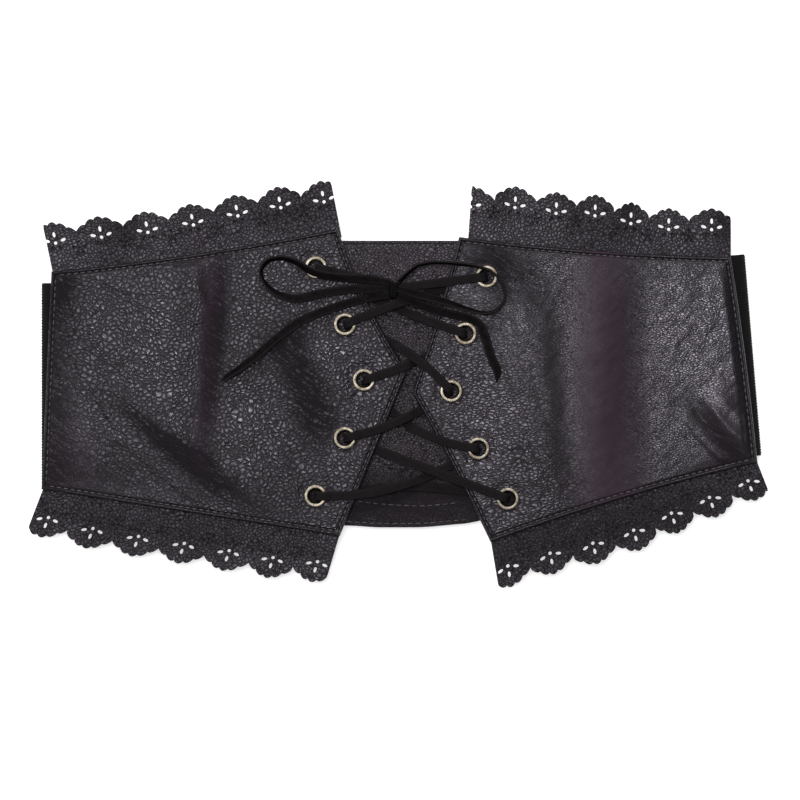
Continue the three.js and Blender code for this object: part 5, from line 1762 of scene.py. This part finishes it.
def strand_points(strand):
    """Points of a crossed strand: its plan is a bowed line, and its height falls evenly from over
    its own panel to under the other one."""
    start, end = (place(side, EYELETS[side][k]) for side, k in (strand.start, strand.end))
    own, other = strand.start[0], strand.end[0]
    curve = bowed_edge(start, end, strand.bow * PANEL_RISE)
    length = float(np.hypot(*(end - start)))
    rim = EYELET_FLANGE / 2 + LACE_CURVE
    rows = []
    for share in (rim + (length - 2 * rim) * np.arange(9) / 8) / length:
        at = curve(share)
        own_edge, other_edge = inner_edge(own, at[1]), inner_edge(other, at[1])
        away = (at[0] - own_edge) * -SIDE_SIGN[own]
        gap = abs(other_edge - own_edge)
        part = (away - LACE_MARGIN) / max(CLEARANCE, gap - 2 * LACE_MARGIN)
        fall = (part - strand.fall_from) / (strand.fall_to - strand.fall_from)
        fall = min(1.0, max(0.0, fall))
        rows.append((*at, LACE_ON_PANEL + (LACE_UNDER_EDGE - LACE_ON_PANEL) * fall))
    return np.array(rows)


def heading(a, b):
    """The direction in plan from a to b."""
    return unit(np.asarray(b, float)[:2] - np.asarray(a, float)[:2])


def through_eyelet(centre, into, out):
    """The lace's way through one eyelet, from under the panel to over its face."""
    rows = []
    for away, climb in EYELET_WAY:
        way = into if away < 0 or climb < 0.5 else out
        plan = centre + way * away * EYELET_FLANGE / 2
        rows.append((*plan, LACE_LOW + (LACE_ON_FLANGE - LACE_LOW) * climb))
    return np.array(rows)


def lacing_route():
    """The whole lace from the knot's left side, through all ten eyelets, to its right side."""
    def spot(side, k):
        """Middle of an eyelet, counted from the top."""
        return place(side, EYELETS[side][k])

    knot = np.array([KNOT[0] * MM, KNOT[1] * MM])
    reach = KNOT_WIDTH / 2 + CLEARANCE * 2
    ends = {
        side: np.array([knot[0] + sign * reach, knot[1] + KNOT_ENDS[side], LACE_ON_PANEL])
        for side, sign in SIDE_SIGN.items()
    }

    def top_strand(side):
        """The run over the panel from its top eyelet to the knot."""
        start = spot(side, 0)
        way = heading(start, ends[side])
        first = EYELET_FLANGE / 2 + LACE_CURVE
        length = float(np.hypot(*(ends[side][:2] - start)))
        away = first + (length - first) * np.arange(4) / 4
        plan = start + way * away[:, None]
        return np.vstack([np.column_stack([plan, np.full(4, LACE_ON_PANEL)]), ends[side]])

    foot = {side: spot(side, 4) for side in SIDE_SIGN}
    bar = bowed_edge(foot["left"], foot["right"], BAR_BOW * PANEL_RISE)
    rim = (EYELET_FLANGE / 2 + LACE_CURVE) / float(np.hypot(*(foot["right"] - foot["left"])))
    plan = bar(rim + (1 - 2 * rim) * np.arange(7) / 6)
    bar_points = np.column_stack([plan, np.full(7, LACE_LOW)])

    def way_up(at, strands, before, last):
        """Half of the lace from a lowest eyelet through its strands to the knot."""
        parts = []
        for strand in strands:
            run = strand_points(strand)
            parts += [through_eyelet(at, heading(before, at), heading(at, run[0])), run]
            at, before = spot(*strand.end), run[-1]
        parts += [through_eyelet(at, heading(before, at), heading(at, last[0])), last]
        return np.vstack(parts)

    up = way_up(foot["right"], STRANDS[4:], bar_points[-1], top_strand("right"))
    down = way_up(foot["left"], STRANDS[:4], bar_points[0], top_strand("left"))
    return np.vstack([down[::-1], bar_points, up])


class MakeLacing(bpy.types.Operator):
    """Threads the flat suede lace through the ten eyelets"""

    bl_idname = "corset.make_lacing"
    bl_label = "Lacing"

    def execute(self, context):
        route = lacing_route()
        keep = np.concatenate([[True], np.linalg.norm(np.diff(route, axis=0), axis=1) > 0.15 * MM])
        line = catmull(route[keep], 0.7 * MM)
        tangent = unit(np.gradient(line, axis=0))
        level = np.cross(np.array([0, 0, 1.0]), tangent)
        # The width stays level where the lace runs flat, and turns evenly between such stretches
        flat = np.linalg.norm(level, axis=1) > 0.72
        angle = np.arctan2(level[:, 1], level[:, 0])
        spots = np.flatnonzero(flat)
        turned = np.unwrap(angle[spots] * 2) / 2
        angle = np.interp(np.arange(len(line)), spots, turned)
        for _ in range(6):
            angle[1:-1] = (angle[:-2] + 2 * angle[1:-1] + angle[2:]) / 4
        wide = np.stack([np.cos(angle), np.sin(angle), angle * 0], -1)
        suede = material_for(context, "suede")
        # The lacing's lace takes 0.45 of the pale colour all over: painted light, lighter than the
        # bow's shaded lace of the same suede.
        lace = put_lace("lace_through_eyelets", line, wide, suede, seed=41, wear_and_painted_light=0.45)
        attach(lace, "root")
        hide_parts("lacing")
        return {"FINISHED"}


class CorsetBeltPanel(bpy.types.Panel):
    """Lists the belt's pieces"""

    bl_idname = "VIEW3D_PT_corset_belt"
    bl_label = "Corset Belt"
    bl_space_type = "VIEW_3D"
    bl_region_type = "UI"
    bl_category = "Corset Belt"

    def draw(self, context):
        layout = self.layout
        for group in (context.scene.corset_sizes, context.scene.corset_colours):
            column = layout.column(align=True)
            for name in group.__annotations__:
                column.prop(group, name)
        column = layout.column(align=True)
        for operator in OPERATORS:
            column.operator(operator.bl_idname)


OPERATORS = (
    MakeStage, MakeBow, MakePanels, MakeStitches, MakeTrims, MakeTongue, MakeElastic, MakeEyelets,
    MakeLacing,
)
CLASSES = (CorsetBeltSizes, CorsetBeltColours, *OPERATORS, CorsetBeltPanel)


def register():
    """Registers the add-on's classes and its settings on the scene."""
    for item in CLASSES:
        bpy.utils.register_class(item)
    bpy.types.Scene.corset_sizes = bpy.props.PointerProperty(type=CorsetBeltSizes)
    bpy.types.Scene.corset_colours = bpy.props.PointerProperty(type=CorsetBeltColours)


def unregister():
    """Takes the settings and the classes away again."""
    del bpy.types.Scene.corset_sizes
    del bpy.types.Scene.corset_colours
    for item in reversed(CLASSES):
        bpy.utils.unregister_class(item)


def main():
    """Makes the stage and the belt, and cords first."""
    register()
    bpy.ops.corset.make_stage()
    bpy.ops.corset.make_bow()
    bpy.ops.corset.make_lacing()
    bpy.ops.corset.make_panels()
    bpy.ops.corset.make_stitches()
    bpy.ops.corset.make_trims()
    bpy.ops.corset.make_tongue()
    bpy.ops.corset.make_elastic()
    bpy.ops.corset.make_eyelets()


if __name__ == "__main__":
    main()
